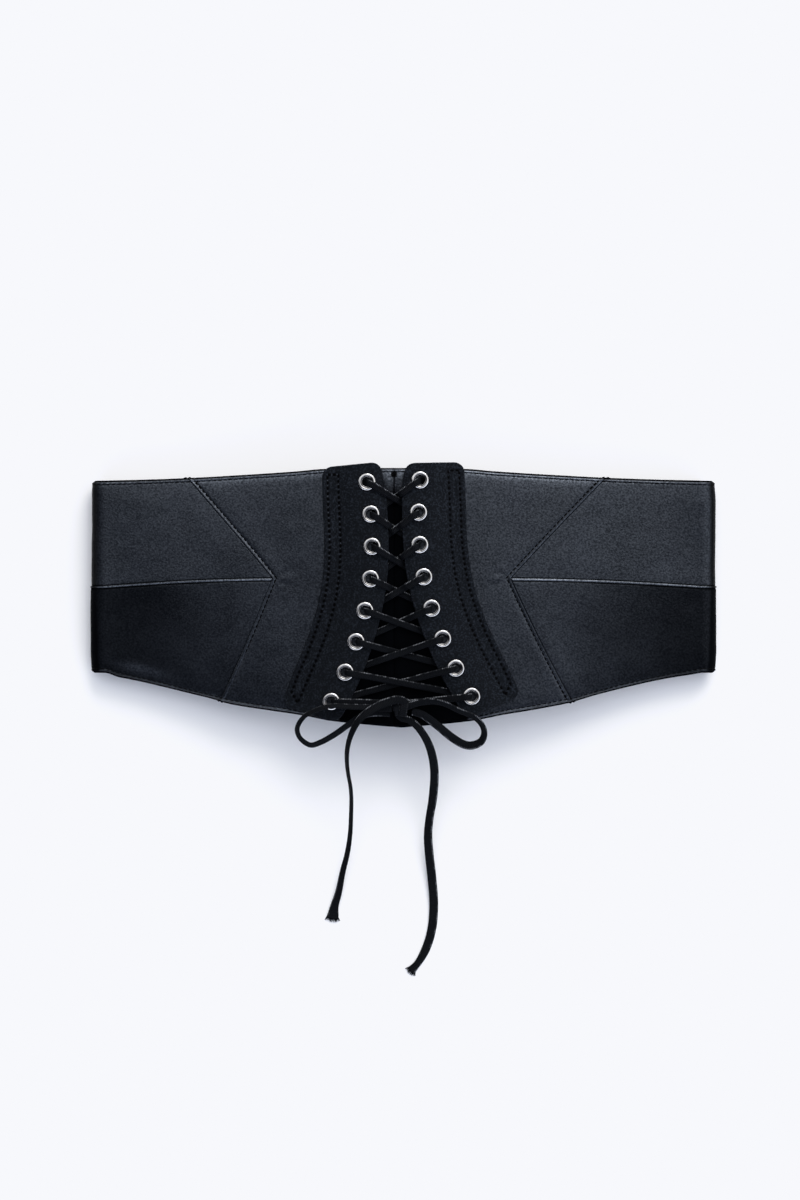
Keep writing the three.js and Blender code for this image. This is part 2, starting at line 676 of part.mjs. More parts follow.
// From the lowest eyelet over the flap's edge to the side of the knot.
function lastStations(side, before) {
  const seat = eyelets[EYELET_COUNT - 1];
  const place = flapPlace(side, seat.out, seat.down);
  const end = knotCentre.clone();
  end.x += side * (KNOT_WIDTH / 2 + CLEARANCE);
  end.y += KNOT_DEPTH / 3;
  end.z += LACE_WALL - KNOT_HEIGHT / 2;
  const level = end.clone().sub(place.point).setZ(0).normalize();
  const across = new THREE.Vector3(-level.y, level.x, 0).multiplyScalar(Math.sign(level.x));
  const acrossSeat = across.clone().projectOnPlane(place.normal).normalize();
  const above = (distance) => besideFlap(place, passOver, level, distance);
  const edge = place.point.clone();
  edge.addScaledVector(level, EYELET_INSET * innerEdgeStretch(seat.down) + LACE_WIDTH / 2);
  edge.z = frontLevel(edge.x, edge.y) + LEATHER_WALL / 2 + flapEdgeTop;
  return [
    holeStation(side, seat, before, across),
    { point: above(CLEARANCE), width: LACE_WIDTH, across: acrossSeat },
    { point: above(EYELET_SPREAD / 2 + LACE_WALL), width: LACE_WIDTH, across: acrossSeat },
    { point: edge, width: LACE_WIDTH, across },
    { point: end, width: LACE_WIDTH, across },
  ];
}

function knotGeometry() {
  const knot = new THREE.SphereGeometry(0.5, KNOT_SIDES, KNOT_RINGS);
  knot.scale(KNOT_WIDTH, KNOT_DEPTH, KNOT_HEIGHT);
  return knot.translate(knotCentre.x, knotCentre.y, knotCentre.z);
}

// A free cord along its listed points, its width kept level.
function freeCord(points, steps) {
  const curve = new THREE.CatmullRomCurve3(points.map((point) => new THREE.Vector3(...point)));
  const places = curve.getSpacedPoints(steps);
  const stations = places.map((point, index) => {
    const before = places[Math.max(0, index - 1)];
    const after = places[Math.min(steps, index + 1)];
    const along = after.clone().sub(before);
    return { point, width: LACE_WIDTH, across: new THREE.Vector3(-along.y, along.x, 0).normalize() };
  });
  return flatCord(stations, LACE_WALL, FREE_SECTION);
}

addPiece('front_panel_left', frontPanel(LEFT_SEAM), COLOURS.leather);
addPiece('front_panel_right', frontPanel(RIGHT_SEAM), COLOURS.leather);
addPiece('side_panel_upper_left', sidePanel(LEFT_SEAM, 1), COLOURS.leather);
addPiece('side_panel_lower_left', sidePanel(LEFT_SEAM, -1), COLOURS.leather);
addPiece('side_panel_upper_right', sidePanel(RIGHT_SEAM, 1), COLOURS.leather);
addPiece('side_panel_lower_right', sidePanel(RIGHT_SEAM, -1), COLOURS.leather);
addPiece('back_closure', closureStrip(), COLOURS.leather);
addPiece('eyelet_flap_left', eyeletFlap(-1), COLOURS.suede);
addPiece('eyelet_flap_right', eyeletFlap(1), COLOURS.suede);
addEyelets(-1, 'eyelet_left');
addEyelets(1, 'eyelet_right');
addPiece('lacing_from_left', lacing(-1), COLOURS.lace);
addPiece('lacing_from_right', lacing(1), COLOURS.lace);
addPiece('lace_knot', knotGeometry(), COLOURS.lace);
addPiece('bow_loop_left', freeCord(LEFT_LOOP, CORD_STEPS.loop), COLOURS.lace);
addPiece('bow_loop_right', freeCord(RIGHT_LOOP, CORD_STEPS.loop), COLOURS.lace);
addPiece('lace_tail_left', freeCord(LEFT_TAIL, CORD_STEPS.tail), COLOURS.lace);
addPiece('lace_tail_right', freeCord(RIGHT_TAIL, CORD_STEPS.tail), COLOURS.lace);

export default belt;
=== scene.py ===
"""Looks of a wide laced corset belt that lies flat on its back panel, front upwards.

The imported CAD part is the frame. The leather panels, flaps, eyelets, lacing and bow are built here
again in fine meshes on the same formulas as the part's own, with their seams, stitches and weave.
Lengths are metres, X runs from fold to fold, Y from the lower to the upper edge, and Z up.
"""

import logging
import math
from collections.abc import Callable, Sequence
from dataclasses import dataclass, field
from enum import Enum

import bpy
import numpy as np
from mathutils import Matrix, Vector


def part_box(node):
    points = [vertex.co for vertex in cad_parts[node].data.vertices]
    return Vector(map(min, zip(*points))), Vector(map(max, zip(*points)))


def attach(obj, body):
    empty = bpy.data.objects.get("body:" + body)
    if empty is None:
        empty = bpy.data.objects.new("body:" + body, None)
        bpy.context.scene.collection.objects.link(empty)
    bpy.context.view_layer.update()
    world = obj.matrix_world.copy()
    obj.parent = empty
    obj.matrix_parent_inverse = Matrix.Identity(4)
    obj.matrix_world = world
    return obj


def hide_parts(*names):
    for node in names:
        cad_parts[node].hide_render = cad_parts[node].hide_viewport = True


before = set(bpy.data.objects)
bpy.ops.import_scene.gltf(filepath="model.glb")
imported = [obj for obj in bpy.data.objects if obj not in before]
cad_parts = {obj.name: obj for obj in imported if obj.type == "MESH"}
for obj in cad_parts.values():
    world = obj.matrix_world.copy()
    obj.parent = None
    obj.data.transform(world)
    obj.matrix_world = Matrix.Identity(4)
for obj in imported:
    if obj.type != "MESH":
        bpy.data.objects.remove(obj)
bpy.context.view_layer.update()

LOG = logging.getLogger("corset_belt")
MM = 0.001
PROBE = 0.5 * MM
ROOT = "root"
# Name of the attribute that holds painted light and shade: painted shade above 0, painted light below 0.
PAINTED_LIGHT = "dull"

Array = np.ndarray
Piece = bpy.types.Object
Material = bpy.types.Material
Socket = bpy.types.NodeSocket
Pair = tuple[float, float]
Triple = tuple[float, float, float]

FULL: Pair = (0.0, 1.0)
NOISE_REACH: Pair = (0.3, 0.7)


class Side(Enum):
    """The half of the belt that a piece belongs to, seen from above."""

    LEFT = -1
    RIGHT = 1

    @property
    def word(self) -> str:
        """The side's name as the nodes spell it."""
        return self.name.lower()


class Half(Enum):
    """The part of a side panel above or below the level seam."""

    UPPER = 1
    LOWER = -1

    @property
    def word(self) -> str:
        """The half's name as the nodes spell it."""
        return self.name.lower()


def mix(start: Array | float, end: Array | float, share: Array | float) -> Array:
    """A value part of the way from start to end."""
    return start + (end - start) * share


def ease(low: float, high: float, value: Array | float) -> Array:
    """A smooth step from 0 at low to 1 at high."""
    share = np.clip((value - low) / (high - low), 0.0, 1.0)
    return share * share * (3.0 - 2.0 * share)


def hump(distance: Array, centre: float, width: float) -> Array:
    """A smooth hump of height 1 at the centre, which has fallen away at a width from it."""
    return np.exp(-(((distance - centre) / width) ** 2))


def unit(vectors: Array) -> Array:
    """Vectors brought to length 1."""
    return vectors / np.maximum(np.linalg.norm(vectors, axis=-1, keepdims=True), 1e-12)


@dataclass(frozen=True)
class SmoothLine:
    """A smooth line through a few rows, which never runs past their values."""

    places: tuple[float, ...]
    values: tuple[float, ...]

    def at(self, place: Array | float) -> Array:
        """Reads the line.

        Args:
            place: where to read, in the units of the places.

        Returns:
            The line's values there, carried on straight outside its ends.
        """
        rows, heights = np.array(self.places), np.array(self.values)
        steps = np.diff(heights) / np.diff(rows)
        before, after = steps[:-1], steps[1:]
        total = np.where(before + after == 0.0, 1.0, before + after)
        inner = np.where(before * after > 0.0, 2.0 * before * after / total, 0.0)
        slopes = np.concatenate([steps[:1], inner, steps[-1:]])
        place = np.asarray(place, float)
        row = np.clip(np.searchsorted(rows, place, side="right") - 1, 0, len(rows) - 2)
        span = rows[row + 1] - rows[row]
        share = (place - rows[row]) / span
        square, cube = share**2, share**3
        inside = (
            (2 * cube - 3 * square + 1) * heights[row]
            + (cube - 2 * square + share) * span * slopes[row]
            + (3 * square - 2 * cube) * heights[row + 1]
            + (cube - square) * span * slopes[row + 1]
        )
        ahead = heights[0] + slopes[0] * (place - rows[0])
        beyond = heights[-1] + slopes[-1] * (place - rows[-1])
        return np.where(place < rows[0], ahead, np.where(place > rows[-1], beyond, inside))


@dataclass(frozen=True)
class ArrowSeam:
    """How far an arrow seam lies from the middle between the folds, at its point and its ends."""

    side: Side
    point: float
    top: float
    bottom: float

    def reach(self, rise: Array) -> Array:
        """Distance of the seam from the middle at each rise."""
        end = np.where(rise > 0.0, self.top, self.bottom)
        return mix(self.point, end, np.abs(rise))


@dataclass(frozen=True)
class Surface:
    """Places on a sheet's middle surface, with the direction that its outer face looks in."""

    points: Array
    normals: Array

    def lifted(self, height: Array | float) -> Array:
        """The places moved out by a height."""
        return self.points + self.normals * np.asarray(height)[..., None]

    def moved(self, height: float) -> "Surface":
        """The surface moved out by a height."""
        return Surface(self.lifted(height), self.normals)


@dataclass(frozen=True)
class LeatherLoop:
    """The loop of leather as it lies, by the CAD part's formulas, with its edges' small sags."""

    laid_width: float = 350 * MM
    fold_height: float = 16 * MM
    crest_height: float = 31 * MM
    crown: float = 2.5 * MM
    wall: float = 2.2 * MM
    clearance: float = 0.3 * MM
    fold_top: float = 63.8 * MM
    fold_bottom: float = -43.9 * MM
    front_top: float = 70.7 * MM
    front_bottom: float = -74.3 * MM
    sag_places: Pair = (-126 * MM, 126 * MM)
    sag_depths: Pair = (3.2 * MM, 1.2 * MM)
    sag_widths: Pair = (38 * MM, 28 * MM)
    sag_start: float = 0.045
    top_middle: float = -6.4 * MM
    bottom_middle: float = -1.2 * MM
    centre_seam: float = -5.3 * MM
    point_height: float = 9 * MM
    fold_seam_height: float = 4.8 * MM
    seam_sag_power: float = 1.8
    crown_end: float = 0.75
    seams: tuple[ArrowSeam, ArrowSeam] = (
        ArrowSeam(Side.LEFT, 73.1 * MM, 120.9 * MM, 102.8 * MM),
        ArrowSeam(Side.RIGHT, 59.7 * MM, 113.3 * MM, 94.6 * MM),
    )
    top_line: SmoothLine = SmoothLine(
        (0, 0.12, 0.24, 0.33, 0.45, 0.56, 0.66, 0.76, 0.87, 1),
        (1, 0.985, 0.92, 0.74, 0.55, 0.4, 0.27, 0.17, 0.08, 0),
    )
    bottom_line: SmoothLine = SmoothLine(
        (0, 0.12, 0.24, 0.33, 0.45, 0.56, 0.66, 0.76, 0.87, 1),
        (1, 0.945, 0.875, 0.778, 0.667, 0.542, 0.368, 0.222, 0.1, 0),
    )

    @property
    def fold_radius(self) -> float:
        """Radius of the folds at the middle of the wall."""
        return (self.fold_height - self.wall) / 2

    @property
    def fold_centre(self) -> float:
        """Distance of the folds' centre lines from the middle."""
        return self.laid_width / 2 - self.wall / 2 - self.fold_radius

    def seam(self, side: Side) -> ArrowSeam:
        """The arrow seam of a side."""
        return self.seams[0] if side is Side.LEFT else self.seams[1]

    def reach(self, middle: float, x: Array) -> Array:
        """Share of the way from a middle to the fold on that side."""
        ahead = x - middle
        fold = np.where(ahead < 0.0, -self.fold_centre, self.fold_centre)
        return np.clip(ahead / (fold - middle), 0.0, 1.0)

    def top_edge(self, x: Array) -> Array:
        """Height in plan of the upper edge."""
        share = self.top_line.at(self.reach(self.top_middle, x))
        return mix(self.fold_top, self.front_top, share)

    def bottom_edge(self, x: Array) -> Array:
        """Height in plan of the lower edge."""
        reach = self.reach(self.bottom_middle, x)
        sags = zip(self.sag_places, self.sag_depths, self.sag_widths)
        sag = sum(depth * hump(x, place, width) for place, depth, width in sags)
        straight = mix(self.fold_bottom, self.front_bottom, self.bottom_line.at(reach))
        return straight - sag * ease(0.0, self.sag_start, 1.0 - reach)

    def level_seam(self, x: Array) -> Array:
        """Height in plan of the level seam, which runs on unsewn through the front."""
        point = np.where(x < 0.0, self.seams[0].point, self.seams[1].point)
        share = np.clip((np.abs(x) - point) / (self.fold_centre - point), 0.0, 1.0)
        return mix(self.point_height, self.fold_seam_height, share**self.seam_sag_power)

    def height(self, x: Array, rise: Array) -> Array:
        """Height in plan at a rise: 0 on the level seam, 1 and -1 on the edges."""
        edge = np.where(rise > 0.0, self.top_edge(x), self.bottom_edge(x))
        return mix(self.level_seam(x), edge, np.abs(rise))

    def rise(self, x: Array, y: Array) -> Array:
        """The rise at a place in plan."""
        seam = self.level_seam(x)
        edge = np.where(y > seam, self.top_edge(x), self.bottom_edge(x))
        return (y - seam) / np.abs(edge - seam)

    def front_level(self, x: Array, y: Array) -> Array:
        """Height above the ground of the front's middle surface."""
        reach = self.reach((self.top_middle + self.bottom_middle) / 2, x)
        swell = self.crest_height - self.crown - self.fold_height
        arch = swell * 0.5 * (1.0 + np.cos(np.pi * reach))
        crown = self.crown * (1.0 - self.rise(x, y) ** 2) * (1.0 - ease(self.crown_end, 1.0, reach))
        return self.fold_height - self.wall / 2 + arch + crown

    def front(self, x: Array, y: Array) -> Surface:
        """The front's middle surface at places in plan."""
        level = self.front_level
        slope_x = (level(x + PROBE, y) - level(x - PROBE, y)) / (2 * PROBE)
        slope_y = (level(x, y + PROBE) - level(x, y - PROBE)) / (2 * PROBE)
        normals = unit(np.stack([-slope_x, -slope_y, np.ones_like(slope_x)], axis=-1))
        return Surface(np.stack([x, y, level(x, y)], axis=-1), normals)

    def fold(self, side: Side, turn: Array, rise: Array) -> Surface:
        """A fold's middle surface, from turn 0 at its front end to 1 at its back end."""
        angle = np.pi * (0.5 - turn)
        edge = side.value * self.fold_centre
        zero = np.zeros_like(angle)
        normals = np.stack([side.value * np.cos(angle), zero, np.sin(angle)], axis=-1)
        y = self.height(np.full_like(angle, edge), rise)
        centres = np.stack([zero + edge, y, zero + self.fold_height / 2], axis=-1)
        return Surface(centres + normals * self.fold_radius, normals)

    def back(self, x: Array, side: Side, rise: Array) -> Surface:
        """The back's middle surface, which lies flat on the ground."""
        y = self.height(np.full_like(x, side.value * self.fold_centre), rise)
        level = np.full_like(x, self.wall / 2)
        down = np.broadcast_to(np.array([0.0, 0.0, -1.0]), (*x.shape, 3))
        return Surface(np.stack([x, y, level], axis=-1), down)


@dataclass(frozen=True)
class FlapPlan:
    """The two laced flaps, in their own frame: out from the lacing's middle, and down from its top."""

    loop: LeatherLoop = LeatherLoop()
    wall: float = 1.4 * MM
    lacing_top: Pair = (-5.88 * MM, 72.12 * MM)
    tilt: float = math.radians(2.1)
    length: float = 143 * MM
    outer_share: float = 0.92
    spread: float = 65.3 * MM
    lift_end: float = 0.75
    eyelet_count: int = 8
    last_eyelet: float = 0.944
    eyelet_inset: float = 9.2 * MM
    first_eyelet: float = 9 * MM
    eyelet_spread: float = 9.9 * MM
    eyelet_roll: float = 0.9 * MM
    washer_spread: float = 8 * MM
    washer_wall: float = 0.4 * MM
    lace_wall: float = 1.1 * MM
    walk_steps: int = 60
    inner_line: SmoothLine = SmoothLine(
        (0, 0.147, 0.273, 0.385, 0.483, 0.594, 0.706, 0.818, 0.916, 1),
        (0.104, 0.064, 0.06, 0.07, 0.1, 0.156, 0.237, 0.335, 0.443, 0.55),
    )
    outer_line: SmoothLine = SmoothLine(
        (0, 0.147, 0.273, 0.385, 0.483, 0.594, 0.706, 0.818, 0.916, 1),
        (0.605, 0.61, 0.608, 0.623, 0.657, 0.726, 0.824, 0.937, 1.02, 1.09),
    )

    @property
    def down_direction(self) -> Array:
        """Plan direction down the lacing."""
        return np.array([math.sin(self.tilt), -math.cos(self.tilt)])

    @property
    def out_direction(self) -> Array:
        """Plan direction out to the right of the lacing."""
        return np.array([math.cos(self.tilt), math.sin(self.tilt)])

    @property
    def lace_room(self) -> float:
        """Room for a lace under a flap."""
        return self.lace_wall + 2 * self.loop.clearance

    @property
    def edge_lift(self) -> float:
        """How far a flap's free edge stands off the leather."""
        return self.lace_room + self.loop.clearance

    @property
    def eyelet_lift(self) -> float:
        """How far a flap stands off the leather at its eyelets."""
        return self.lace_room + self.washer_wall + 2 * self.loop.clearance

    def plan(self, side: Side, out: Array, down: Array) -> tuple[Array, Array]:
        """X and Y of places in the flap's frame."""
        along, across = self.down_direction, self.out_direction
        x = self.lacing_top[0] + side.value * out * across[0] + down * along[0]
        y = self.lacing_top[1] + side.value * out * across[1] + down * along[1]
        return x, y

    def inner(self, down: Array) -> Array:
        """Distance of the free edge from the lacing's middle."""
        return self.spread * self.inner_line.at(down / self.length)

    def outer(self, down: Array) -> Array:
        """Distance of the fixed edge from the lacing's middle."""
        return self.spread * self.outer_line.at(down / self.length)

    def stretch(self, down: Array) -> Array:
        """Length along the free edge for each step down the flap."""
        rise = (self.inner(down + PROBE) - self.inner(down - PROBE)) / (2 * PROBE)
        return np.hypot(1.0, rise)

    def underside(self, side: Side, out: Array, down: Array) -> Array:
        """Height above the ground of a flap's lower face."""
        x, y = self.plan(side, out, down)
        stretch = self.stretch(down)
        inner = self.inner(down)
        inset = (out - inner) / stretch
        level = self.eyelet_inset + self.washer_spread / 2 + self.lace_wall
        width = (self.outer(down) - inner) / stretch
        end = mix(level, width, self.lift_end)
        share = np.clip((inset - level) / (end - level), 0.0, 1.0)
        rising = self.eyelet_lift * (1.0 - share * share * (3.0 - 2.0 * share))
        rim = self.eyelet_inset - self.eyelet_spread / 2
        drooping = (self.eyelet_lift - self.edge_lift) * (1.0 - ease(0.0, rim, inset))
        return self.loop.front_level(x, y) + self.loop.wall / 2 + self.loop.clearance + rising - drooping

    def surface(self, side: Side, out: Array, down: Array) -> Surface:
        """A flap's middle surface."""
        out, down = np.asarray(out, float), np.asarray(down, float)
        level = self.underside(side, out, down)
        ahead = self.underside(side, out + PROBE, down) - self.underside(side, out - PROBE, down)
        below = self.underside(side, out, down + PROBE) - self.underside(side, out, down - PROBE)
        slope_out, slope_down = ahead / (2 * PROBE), below / (2 * PROBE)
        along, across = self.down_direction, self.out_direction
        normals = np.stack(
            [
                -slope_out * side.value * across[0] - slope_down * along[0],
                -slope_out * side.value * across[1] - slope_down * along[1],
                np.ones_like(slope_out),
            ],
            axis=-1,
        )
        normals = unit(normals)
        x, y = self.plan(side, out, down)
        points = np.stack([x, y, level], axis=-1) + normals * (self.wall / 2)
        return Surface(points, normals)

    def eyelet_places(self) -> list[Pair]:
        """The eyelets' places as (out, down), by even steps along a line inside the free edge."""
        pitch = (self.last_eyelet * self.length - self.first_eyelet) / (self.eyelet_count - 1)
        step = pitch / self.walk_steps

        def out_at(down: float) -> float:
            """Distance of the eyelets' line from the lacing's middle."""
            return float(self.inner(down) + self.eyelet_inset * self.stretch(down))

        here = (out_at(self.first_eyelet), self.first_eyelet)
        places = [here]
        while len(places) < self.eyelet_count:
            for _ in range(self.walk_steps):
                slope = (out_at(here[1] + step) - here[0]) / step
                down = here[1] + step / math.hypot(1.0, slope)
                here = (out_at(down), down)
            places.append(here)
        return places


LOOP = LeatherLoop()
FLAPS = FlapPlan()


def select_only(piece: Piece) -> None:
    """Makes one object the selected and active one."""
    bpy.ops.object.select_all(action="DESELECT")
    piece.select_set(True)
    bpy.context.view_layer.objects.active = piece


def added(name: str) -> Piece:
    """Names the primitive that was just added, which is the active object."""
    piece = bpy.context.object
    piece.name = name
    piece.data.name = name
    return piece


def set_points(piece: Piece, points: Array) -> None:
    """Gives a mesh its vertices' places."""
    piece.data.vertices.foreach_set("co", np.ascontiguousarray(points, np.float32).ravel())
    piece.data.update()


def get_points(piece: Piece) -> Array:
    """The places of a mesh's vertices."""
    points = np.zeros(len(piece.data.vertices) * 3, np.float32)
    piece.data.vertices.foreach_get("co", points)
    return points.reshape(-1, 3).astype(float)


def smooth_by_angle(piece: Piece, degrees: float = 40.0) -> None:
    """Shades a piece smooth, apart from edges sharper than an angle."""
    select_only(piece)
    bpy.ops.object.shade_smooth_by_angle(angle=math.radians(degrees))


def face_outwards(piece: Piece) -> None:
    """Turns the faces of a closed mesh outwards."""
    select_only(piece)
    bpy.ops.object.mode_set(mode="EDIT")
    bpy.ops.mesh.select_all(action="SELECT")
    bpy.ops.mesh.normals_make_consistent(inside=False)
    bpy.ops.object.mode_set(mode="OBJECT")


def apply_modifier(piece: Piece, kind: str, **settings: object) -> None:
    """Adds a modifier with its settings and applies it."""
    select_only(piece)
    modifier = piece.modifiers.new(kind.lower(), kind)
    for name, value in settings.items():
        setattr(modifier, name, value)
    bpy.ops.object.modifier_apply(modifier=modifier.name)


def set_dull(piece: Piece, dull: Array) -> None:
    """Keeps the painted light and shade, point by point, as the piece's own attribute."""
    layer = piece.data.attributes.new(name=PAINTED_LIGHT, type="FLOAT", domain="POINT")
    layer.data.foreach_set("value", dull.astype(np.float32))


def joined(pieces: Sequence[Piece]) -> Piece:
    """Joins pieces into the first of them."""
    select_only(pieces[0])
    for piece in pieces:
        piece.select_set(True)
    bpy.ops.object.join()
    return bpy.context.object


def closed_sheet(name: str, outer: Array, inner: Array, dull: Array | None = None) -> Piece:
    """Makes a closed wall from a grid primitive with its thickness.

    Args:
        name: the piece's name.
        outer: places of the outer face, by rows and columns.
        inner: places of the inner face, likewise.
        dull: the painted light and shade, likewise, kept as the piece's own attribute.

    Returns:
        The piece, its faces outwards and shaded smooth.
    """
    rows, columns = outer.shape[:2]
    bpy.ops.object.select_all(action="DESELECT")
    bpy.ops.mesh.primitive_grid_add(x_subdivisions=columns - 1, y_subdivisions=rows - 1, size=1)
    sheet = added(name)
    depth = 0.1
    apply_modifier(sheet, "SOLIDIFY", thickness=depth, offset=-1.0)
    flat = get_points(sheet)
    column = np.rint((flat[:, 0] + 0.5) * (columns - 1)).astype(int)
    row = np.rint((flat[:, 1] + 0.5) * (rows - 1)).astype(int)
    below = flat[:, 2] < -depth / 2
    set_points(sheet, np.where(below[:, None], inner[row, column], outer[row, column]))
    if dull is not None:
        set_dull(sheet, dull[row, column])
    face_outwards(sheet)
    smooth_by_angle(sheet)
    return sheet


def mesh_piece(name: str, points: Array, faces: Sequence[Sequence[int]]) -> Piece:
    """Makes an object of a mesh whose points and faces are worked out."""
    mesh = bpy.data.meshes.new(name)
    mesh.from_pydata([tuple(point) for point in points], [], [tuple(face) for face in faces])
    mesh.validate()
    piece = bpy.data.objects.new(name, mesh)
    bpy.context.scene.collection.objects.link(piece)
    return piece


def line_lengths(points: Array) -> Array:
    """Length along a line of points, up to each of them."""
    steps = np.linalg.norm(np.diff(points, axis=0), axis=1)
    return np.concatenate([[0.0], np.cumsum(steps)])


def sample_line(points: Array, values: Array, places: Array) -> Array:
    """Reads values kept at a line's points at other lengths along it."""
    lengths = line_lengths(points)
    return np.stack([np.interp(places, lengths, values[:, k]) for k in range(values.shape[1])], axis=1)


def curve_through(points: Array, step: float) -> Array:
    """A smooth curve through points, as places about a step apart along it."""
    knots = np.concatenate([[0.0], np.cumsum(np.linalg.norm(np.diff(points, axis=0), axis=1) ** 0.5)])
    fine = []
    padded = np.concatenate([[2 * points[0] - points[1]], points, [2 * points[-1] - points[-2]]])
    first, last = knots[1] - knots[0], knots[-1] - knots[-2]
    times = np.concatenate([[knots[0] - first], knots, [knots[-1] + last]])
    for i in range(1, len(padded) - 2):
        count = max(2, int(np.linalg.norm(padded[i + 1] - padded[i]) / (step / 4)))
        t = np.linspace(times[i], times[i + 1], count, endpoint=False)[:, None]
        p, k = padded[i - 1 : i + 3], times[i - 1 : i + 3]
        a = [mix(p[j], p[j + 1], (t - k[j]) / (k[j + 1] - k[j])) for j in range(3)]
        b = [mix(a[j], a[j + 1], (t - k[j]) / (k[j + 2] - k[j])) for j in range(2)]
        fine.append(mix(b[0], b[1], (t - k[1]) / (k[2] - k[1])))
    fine.append(points[-1:])
    line = np.concatenate(fine)
    total = line_lengths(line)[-1]
    return sample_line(line, line, np.linspace(0.0, total, max(3, math.ceil(total / step) + 1)))


def nearest_on(points: Array, line: Array) -> tuple[Array, Array]:
    """Nearest places, in plan, on a line of straight stretches.

    Args:
        points: the points.
        line: the line's corners, in space.

    Returns:
        Each point's distance from the line in plan, and how far along the line its nearest place is.
    """
    flat = points.reshape(-1, points.shape[-1])[:, :2]
    best = np.full(len(flat), np.inf)
    run = np.zeros(len(flat))
    lengths = line_lengths(line)
    for index, (start, end) in enumerate(zip(line[:-1, :2], line[1:, :2])):
        along = end - start
        share = np.clip((flat - start) @ along / max(along @ along, 1e-15), 0.0, 1.0)
        gap = flat - start - share[:, None] * along
        distance = np.hypot(gap[:, 0], gap[:, 1])
        closer = distance < best
        best = np.where(closer, distance, best)
        run = np.where(closer, mix(lengths[index], lengths[index + 1], share), run)
    return best.reshape(points.shape[:-1]), run.reshape(points.shape[:-1])


def distance_to(points: Array, line: Array) -> Array:
    """Distance in plan of each point from a line of straight stretches."""
    return nearest_on(points, line)[0]


def unevenness(points: Array, wavelength: float, phase: float) -> Array:
    """Gentle uneven swells between -1 and 1, the same ones each time."""
    total = np.zeros(points.shape[:-1])
    for index in range(5):
        angle = 2.4 * index + phase
        wave = wavelength * (0.7 + 0.17 * index)
        along = points[..., 0] * math.cos(angle) + points[..., 1] * math.sin(angle)
        total += np.sin(2 * np.pi * along / wave + 1.9 * index + phase)
    return total / 5


def graded(start: Array, end: Array, near: Array, count: int, both: bool = True) -> Array:
    """Columns between two edges, closely spaced near them.

    Args:
        start: where each row starts.
        end: where each row ends.
        near: distances of the close columns from an edge.
        count: steps of the even stretch between them.
        both: whether the columns are close at the end as well as at the start.

    Returns:
        Places by rows and columns.
    """
    way = np.sign(end - start)[:, None]
    low = start[:, None] + way * near
    high = end[:, None] - way * near[::-1] if both else end[:, None]
    shares = np.linspace(0.0, 1.0, count + 1)[1:-1]
    middle = mix(low[:, -1:], high[:, :1], shares)
    return np.concatenate([low, middle, high], axis=1)


class Tree:
    """A small hand for building a node tree."""

    def __init__(self, tree: bpy.types.NodeTree) -> None:
        """Takes the tree that it adds to."""
        self.tree = tree

    def add(self, kind: str, **settings: object) -> bpy.types.Node:
        """Adds a node and sets its properties."""
        node = self.tree.nodes.new(kind)
        for name, value in settings.items():
            setattr(node, name, value)
        return node

    def join(self, source: Socket, target: Socket) -> None:
        """Joins two sockets."""
        self.tree.links.new(source, target)

    def feed(self, value: Socket | float | Triple, target: Socket) -> None:
        """Joins a socket to a target, or gives the target a number or a colour."""
        if isinstance(value, tuple):
            target.default_value = (*value, 1.0)
        elif isinstance(value, (int, float)):
            target.default_value = value
        else:
            self.join(value, target)

    def ranged(self, value: Socket, source: Pair, target: Pair = FULL, smooth: bool = False) -> Socket:
        """A value carried from one range to another."""
        kind = "SMOOTHSTEP" if smooth else "LINEAR"
        node = self.add("ShaderNodeMapRange", interpolation_type=kind)
        for name, number in zip(("From Min", "From Max", "To Min", "To Max"), (*source, *target)):
            node.inputs[name].default_value = number
        self.join(value, node.inputs["Value"])
        return node.outputs["Result"]

    def mixed(self, share: Socket, low: Socket | Triple, high: Socket | Triple) -> Socket:
        """A colour between two, by a share."""
        node = self.add("ShaderNodeMix", data_type="RGBA")
        self.join(share, node.inputs["Factor"])
        for name, colour in (("A", low), ("B", high)):
            self.feed(colour, next(s for s in node.inputs if s.name == name and s.type == "RGBA"))
        return next(socket for socket in node.outputs if socket.type == "RGBA")

    def math(self, operation: str, *values: Socket | float) -> Socket:
        """The result of a sum on sockets and numbers."""
        node = self.add("ShaderNodeMath", operation=operation)
        for socket, value in zip(node.inputs, values):
            self.feed(value, socket)
        return node.outputs["Value"]

    def weighed(self, first: Socket, second: Socket, share: float) -> Socket:
        """Two values added, the first by a share and the second by the rest."""
        rest = self.math("MULTIPLY", second, 1.0 - share)
        return self.math("ADD", self.math("MULTIPLY", first, share), rest)


